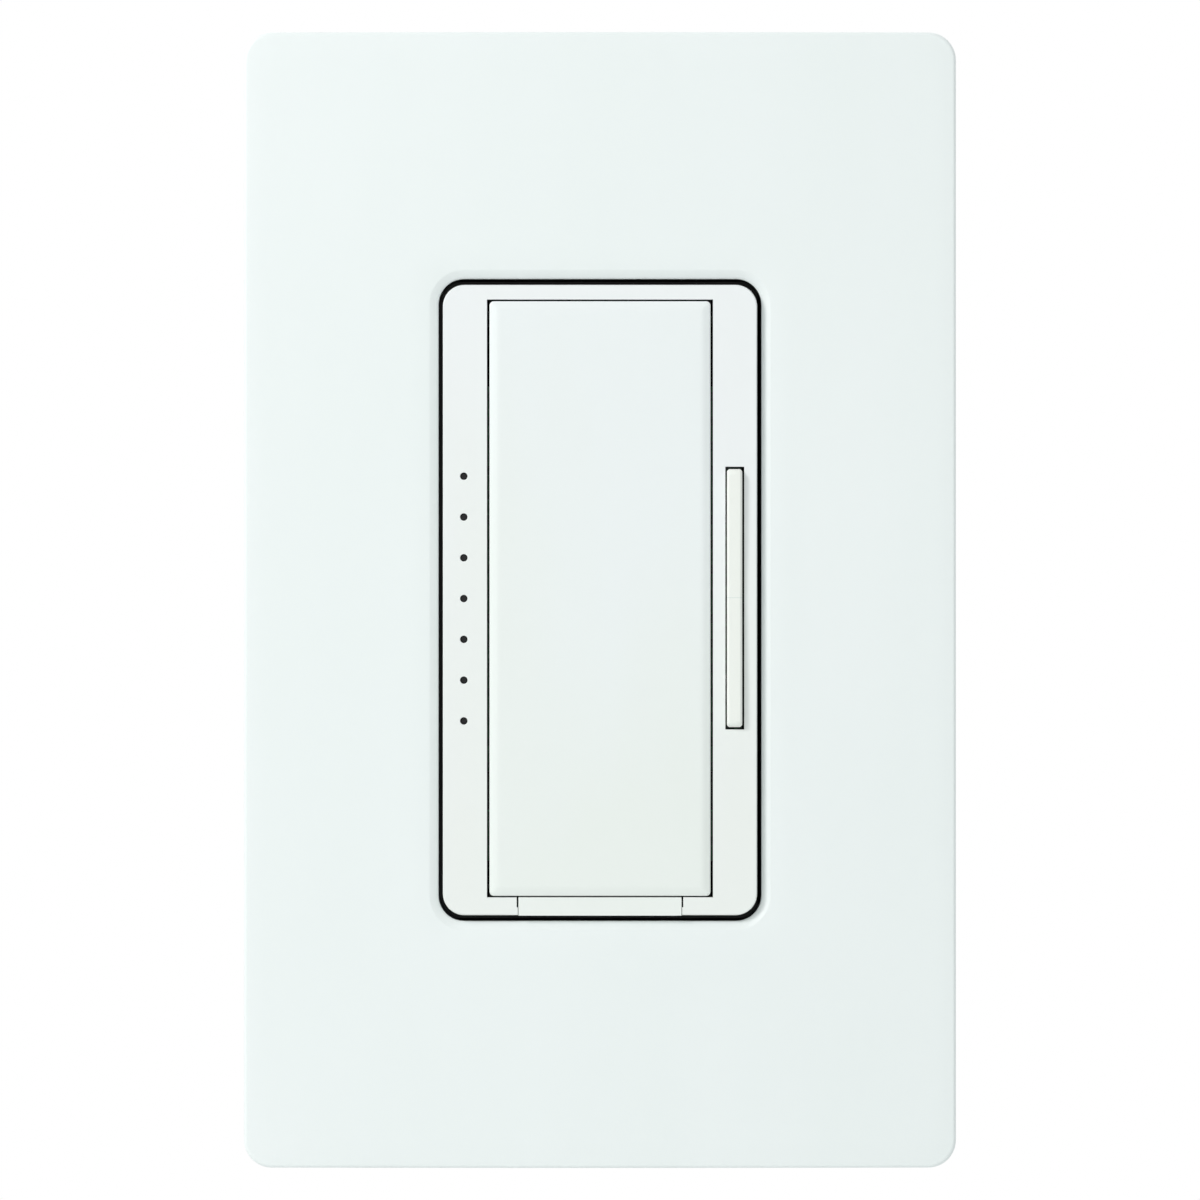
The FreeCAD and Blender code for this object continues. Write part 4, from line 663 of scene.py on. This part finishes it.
def make_bezel():
    bm = solid_mesh("bezel")
    bmesh.ops.dissolve_limit(bm, angle_limit=FLAT_BEND, verts=bm.verts, edges=bm.edges)

    def is_rim(edge):
        at_face = all(abs(-v.co.y / MM - BEZEL_FACE) < AT_FACE for v in edge.verts)
        return at_face and edge.calc_face_angle(0) > RIM_BEND

    rims = [edge for edge in bm.edges if is_rim(edge)]
    bmesh.ops.bevel(bm, geom=rims, offset=RIM_WIDTH * MM, segments=3, profile=0.5, affect="EDGES")
    hold_flat(new_piece("bezel_moulding", bm, "bezel"), True)


make_bezel()

# Paddle: the tray of the solid under a softly bevelled face with rounded corners

PADDLE_HALF_X, PADDLE_LOW, PADDLE_TOP = 11.58, -30.99, 31.29
PADDLE_FACE, PADDLE_SHOULDER, PADDLE_BEVEL = 8.5, 8.2, 0.85
PADDLE_SPLIT, PADDLE_CORNER = 7.6, 0.45


def make_paddle():
    bm = solid_mesh("tap_paddle")
    whole = list(bm.verts) + list(bm.edges) + list(bm.faces)
    halved = bmesh.ops.bisect_plane(
        bm, geom=whole, plane_co=(0, -PADDLE_SPLIT * MM, 0), plane_no=(0, -1, 0), clear_outer=True
    )
    rim = [e for e in halved["geom_cut"] if isinstance(e, bmesh.types.BMEdge)]
    bmesh.ops.holes_fill(bm, edges=rim)
    bmesh.ops.dissolve_limit(
        bm, angle_limit=FLAT_BEND, verts=bm.verts, edges=bm.edges, delimit={"NORMAL"}
    )
    paddle = new_piece("paddle_shell", bm, "tap_paddle", "paddle")

    middle = (PADDLE_LOW + PADDLE_TOP) / 2
    half_z = (PADDLE_TOP - PADDLE_LOW) / 2
    drop = PADDLE_FACE - PADDLE_SHOULDER
    # The face starts inside the tray and a hair within its sides, so that the two join cleanly
    steps = [(0.01, PADDLE_SPLIT - 0.1), (0.01, PADDLE_SHOULDER - 0.06)]
    steps.append((0.02, PADDLE_SHOULDER - 0.02))
    for inset in (0.06, 0.25, 0.45, 0.62):
        steps.append((inset, PADDLE_SHOULDER + drop * inset / PADDLE_BEVEL))
    steps += [(0.76, 8.462), (0.9, 8.487), (1.05, 8.497), (1.25, PADDLE_FACE)]
    rings = []
    for inset, front in steps:
        radius = max(PADDLE_CORNER - inset * 0.3, 0.12)
        outline = rounded_outline(PADDLE_HALF_X - inset, half_z - inset, radius, middle, 6)
        rings.append([point(x, front, z) for x, z in outline])
    carve(paddle, [lambda bm: loft(bm, rings)], "UNION", crease=40)


make_paddle()

# Screws: threaded shanks under heads with a rounded rim and a driver slot

DRIVER_SLOT, SCREW_RIM = 0.8, 0.3
PLAIN_SHANK = 0.25
# The depth of a thread for its pitch, and the length and end of a shank's tip for its radius
THREAD_DEPTH, TIP_LENGTH, TIP_END = 0.32, 0.4, 0.55


def make_screws(name, node, heads, head, shank, pitch, along):
    """Screws given as (place, axis), with the axis out of the head. A head and a shank are
    (radius, length), and along is the way that the driver slots run."""
    head_radius, head_height = head
    shank_radius, shank_length = shank
    tip = -shank_length + shank_radius * TIP_LENGTH
    thread = (tip, -PLAIN_SHANK, pitch, pitch * THREAD_DEPTH)
    profile = [
        (-shank_length, shank_radius * TIP_END),
        (tip, shank_radius),
        (-PLAIN_SHANK, shank_radius),
        (0, shank_radius),
        (0, head_radius - 0.12),
        (0.1, head_radius),
        (head_height - SCREW_RIM - 0.15, head_radius),
        (head_height - 0.2, head_radius - 0.12),
        (head_height - 0.07, head_radius - SCREW_RIM),
        (head_height, head_radius - 2.4 * SCREW_RIM),
    ]
    bm = bmesh.new()
    slots = []
    for place, axis in heads:
        turned(bm, place, axis, profile, thread)

        def fill(bm, place=Vector(place), axis=Vector(axis)):
            made = bmesh.ops.create_cube(bm, size=1)
            across = Vector(along)
            third = axis.cross(across)
            for vertex in made["verts"]:
                x, y, z = vertex.co
                spot = across * (x * 3 * head_radius) + third * (y * DRIVER_SLOT)
                spot += axis * (head_height - DRIVER_SLOT + (z + 0.5) * 2 * DRIVER_SLOT)
                vertex.co = (place + spot) * MM

        slots.append(fill)
    carve(new_piece(name, bm, node), slots)


ROOM, BACK, DOWN = (0, -1, 0), (0, 1, 0), (0, 0, -1)
ACROSS, UPRIGHT = (1, 0, 0), (0, 0, 1)
make_screws(
    "plate_screws", "adapter_screws",
    [((0, -3.4, 48.42), ROOM), ((0, -3.4, -48.42), ROOM)], (3.2, 1.5), (1.7, 8), 0.8, ACROSS,
)
make_screws(
    "earth_screw", "ground_screw",
    [((-15.5, 5, -36.6), DOWN)], (3.2, 1.5), (1.7, 1.9), 0.8, ACROSS,
)
make_screws(
    "cover_screws", "case_screws",
    [((-14.4, 6, 30.4), BACK), ((14.4, 6, -30.4), BACK)], (2.5, 1.7), (1.25, 11.4), 0.9, ACROSS,
)
for wire, side, level in (("load", 1, 12), ("hot", 1, -12), ("traveler", -1, 12)):
    make_screws(
        wire + "_terminal_binding", wire + "_terminal_screw",
        [((side * 19.8, 13.8, level), (side, 0, 0))], (3.4, 1.8), (1.8, 5.3), 0.8, UPRIGHT,
    )

# Choke winding: one layer of round wire wound over the bar, as a rounded square helix

WIRE = 0.78
WIRE_PITCH = WIRE * 1.04
COIL_HALF_LENGTH, COIL_HALF_SIDE, COIL_MARGIN = 10, 5, 0.2
CORE_HALF_SIDE = 2.9
CHOKE_DEPTH, CHOKE_LEVEL = 15.6, 11.5


def choke_point(x, y, z):
    return Vector((x, CHOKE_DEPTH + y, CHOKE_LEVEL + z))


def square_path(half, radius):
    return rounded_outline(half, half, radius, corner=5, across=3, along=3)


def make_winding():
    bm = bmesh.new()
    half = COIL_HALF_SIDE - WIRE / 2
    path = square_path(half, 1.5)
    turns = int(2 * COIL_HALF_LENGTH / WIRE_PITCH) - 1
    start = -COIL_HALF_LENGTH + WIRE / 2 + COIL_MARGIN
    centres = []
    for turn in range(turns):
        for i, (y, z) in enumerate(path):
            centres.append(choke_point(start + (turn + i / len(path)) * WIRE_PITCH, y, z))
    rings = []
    for i, centre in enumerate(centres):
        before = centres[max(i - 1, 0)]
        after = centres[min(i + 1, len(centres) - 1)]
        ahead = (after - before).normalized()
        outward = Vector((0, centre.y - CHOKE_DEPTH, centre.z - CHOKE_LEVEL)).normalized()
        outward = (outward - ahead * outward.dot(ahead)).normalized()
        sideways = ahead.cross(outward)
        ring = []
        for step in range(8):
            turn = math.radians(45 * step)
            spot = outward * math.cos(turn) + sideways * math.sin(turn)
            ring.append((centre + spot * WIRE / 2) * MM)
        rings.append(ring)
    loft(bm, rings)
    inner = square_path(half - WIRE / 2, 1.2)
    bore = square_path(CORE_HALF_SIDE, 0.3)
    former = []
    for side, outline in ((-1, bore), (-1, inner), (1, inner), (1, bore)):
        former.append([choke_point(side * COIL_HALF_LENGTH, y, z) * MM for y, z in outline])
    loft(bm, former, closed=True)
    new_piece("choke_turns", bm, "choke_winding")


make_winding()

# Electrolytic can with a rolled groove and a rolled rim, and the lens-shaped surge absorber

BOARD_BACK = 10.6
CAN_COLUMN, CAN_LEVEL = -10.5, -19
SCORE_HALF_LENGTH, SCORE_HALF_WIDTH = 3, 0.12
LEAD_RADIUS = 0.35


def make_can():
    bm = bmesh.new()
    profile = [
        (0, 4.2), (0, 4.8), (0.2, 5), (1.4, 5), (1.75, 4.7), (2.1, 4.6), (2.45, 4.7), (2.8, 5),
        (14.3, 5), (14.75, 4.85), (15, 4.5), (15, 4.1), (14.8, 3.9), (14.75, 1.5),
    ]
    turned(bm, (CAN_COLUMN, BOARD_BACK, CAN_LEVEL), BACK, profile, segments=48)

    def score(half_x, half_z, floor):
        columns = (CAN_COLUMN - half_x, CAN_COLUMN + half_x)
        levels = (CAN_LEVEL - half_z, CAN_LEVEL + half_z)
        return lambda bm: soft_block(bm, columns, (-26, floor), levels, 0.02)

    # The two scores differ in depth, so that their floors don't meet
    can = new_piece("filter_can", bm, "filter_capacitor")
    across = score(SCORE_HALF_LENGTH, SCORE_HALF_WIDTH, -25.2)
    upright = score(SCORE_HALF_WIDTH, SCORE_HALF_LENGTH, -25.24)
    carve(can, [across, upright])


make_can()


def make_absorber():
    low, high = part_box("surge_absorber")
    thickness = (high.z - low.z) / MM
    radius = (high.x - low.x) / 2 / MM
    column = (low.x + high.x) / 2 / MM
    depth = high.y / MM - radius
    bm = bmesh.new()
    profile = [(0, radius * 0.3)]
    for step in range(1, 12):
        turn = math.pi * step / 12
        height = thickness / 2 * (1 - math.cos(turn))
        profile.append((height, radius * (0.55 + 0.45 * math.sin(turn) ** 0.6)))
    profile.append((thickness, radius * 0.3))
    turned(bm, (column, depth, low.z / MM), UPRIGHT, profile, segments=48)
    level = (low.z + high.z) / 2 / MM
    for side in (-1, 1):
        lead = [(0, LEAD_RADIUS), (depth - BOARD_BACK, LEAD_RADIUS)]
        turned(bm, (column + side * radius / 2, BOARD_BACK, level), BACK, lead, segments=12)
    new_piece("absorber_disc", bm, "surge_absorber")


make_absorber()

# Snap domes: pressed discs with a dimple, which flatten as the rocker's leg comes down on them

DOME_COLUMN, BOARD_FRONT = 13.385, 3.6
DOME_PROFILE = [
    (0, 1.5), (0.05, 1.5), (0.09, 1.38), (0.18, 1.2), (0.29, 1.0),
    (0.37, 0.82), (0.4, 0.62), (0.395, 0.42), (0.37, 0.26), (0.36, 0.1),
]


def make_dome(name, node, level):
    bm = bmesh.new()
    turned(bm, (DOME_COLUMN, -BOARD_FRONT, level), ROOM, DOME_PROFILE)
    thing = new_piece(name, bm, node)
    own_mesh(thing)


make_dome("brighten_snap", "brighten_dome", 9.7)
make_dome("dim_snap", "dim_dome", -9.3)


# Stage: a pale floor well below the part and a white surround

# The light of the room on the camera's side and of the white sweep behind the part, the headings
# between which one turns into the other, and how much brighter it gets straight above
ROOM_LIGHT, SWEEP_LIGHT = 0.52, 1.0
SWEEP_START, SWEEP_END = -0.1, 0.4
ABOVE_LIGHT = 0.15

# The floor's radius and depth below the middle, in metres, and how it fades to the white surround:
# from a share at one distance to all of it at another, so that no horizon shows
FLOOR_RADIUS, FLOOR_LEVEL = 6, -0.45
FADE_START, FADE_END = 0.3, 2.2
FLOOR_WHITE = 0.6


def white_seen(tree):
    """1 for rays that see the surround directly, in gloss or through glass, or else 0."""
    paths = tree.nodes.new("ShaderNodeLightPath").outputs
    seen = calculate(tree, "MAXIMUM", paths["Is Camera Ray"], paths["Is Glossy Ray"])
    return calculate(tree, "MAXIMUM", seen, paths["Is Transmission Ray"])


world = bpy.data.worlds.new("surround")
scene.world = world
world.use_nodes = True
tree = world.node_tree
tree.nodes.clear()
output = tree.nodes.new("ShaderNodeOutputWorld")
mix = tree.nodes.new("ShaderNodeMixShader")
heading = separated(tree, "Generated")
sweep = spread(tree, heading["Y"], SWEEP_START, SWEEP_END, ROOM_LIGHT, SWEEP_LIGHT)
ambient = tree.nodes.new("ShaderNodeBackground")
ambient.inputs["Color"].default_value = linear((0.98, 1.0, 1.0))
strength = calculate(tree, "MULTIPLY_ADD", heading["Z"], ABOVE_LIGHT, sweep)
tree.links.new(strength, ambient.inputs["Strength"])
white = tree.nodes.new("ShaderNodeBackground")
white.inputs["Color"].default_value = (1, 1, 1, 1)
white.inputs["Strength"].default_value = 1.0
tree.links.new(white_seen(tree), mix.inputs["Fac"])
tree.links.new(ambient.outputs[0], mix.inputs[1])
tree.links.new(white.outputs[0], mix.inputs[2])
tree.links.new(mix.outputs[0], output.inputs["Surface"])

bm = bmesh.new()
bmesh.ops.create_circle(bm, cap_ends=True, segments=96, radius=FLOOR_RADIUS)
floor = new_object("floor", bm)
floor.location = (0, 0, FLOOR_LEVEL)
pale = Finish("floor_paint", Roughness=0.9)
pale.tones(pale.noise(4, 2), (0.915, 0.92, 0.918), (0.925, 0.93, 0.928))
away = pale.add("ShaderNodeVectorMath", operation="LENGTH")
pale.link(pale.coordinates, away.inputs[0])
fade = spread(pale.tree, away.outputs["Value"], FADE_START, FADE_END, FLOOR_WHITE, 1, "SMOOTHSTEP")
seen = pale.add("ShaderNodeLightPath").outputs["Is Camera Ray"]
blend = pale.add("ShaderNodeMixShader")
pale.link(calculate(pale.tree, "MULTIPLY", seen, fade), blend.inputs["Fac"])
pale.link(pale.shader.outputs["BSDF"], blend.inputs[1])
pale.link(pale.add("ShaderNodeEmission").outputs["Emission"], blend.inputs[2])
pale.link(blend.outputs["Shader"], pale.tree.nodes["Material Output"].inputs["Surface"])
floor.data.materials.append(pale.material)


def lamp(name, place, size, power, colour):
    """A round lamp, in metres and watts, that shines at the middle of the part."""
    data = bpy.data.lights.new(name, "AREA")
    data.shape = "DISK"
    data.size = size
    data.energy = power
    data.color = colour
    thing = bpy.data.objects.new(name, data)
    scene.collection.objects.link(thing)
    thing.location = place
    thing.rotation_euler = (-Vector(place)).to_track_quat("-Z", "Y").to_euler()


lamp("key", (-0.62, -0.6, 0.45), 0.28, 4.35, (1.0, 1.0, 0.99))
lamp("fill", (0.05, -0.5, -0.45), 0.6, 0.4, (1.0, 1.0, 1.0))

# Camera: level with the middle of the plate and far enough to see no sides. The picture is 1200
# pixels wide, with so many to a millimetre at the front of the plate's ends

PICTURE, SCALE, SCALE_FRONT = 1200, 9.535, 7
LENS, SENSOR = 200, 36

camera_data = bpy.data.cameras.new("camera")
camera_data.lens = LENS
camera_data.sensor_width = SENSOR
camera_data.clip_start = 0.05
camera_data.clip_end = 10
camera = bpy.data.objects.new("camera", camera_data)
scene.collection.objects.link(camera)
scene.camera = camera
distance = PICTURE / SCALE * MM * LENS / SENSOR
camera.location = (0, -distance - SCALE_FRONT * MM, 0)
camera.rotation_euler = (math.radians(90), 0, 0)
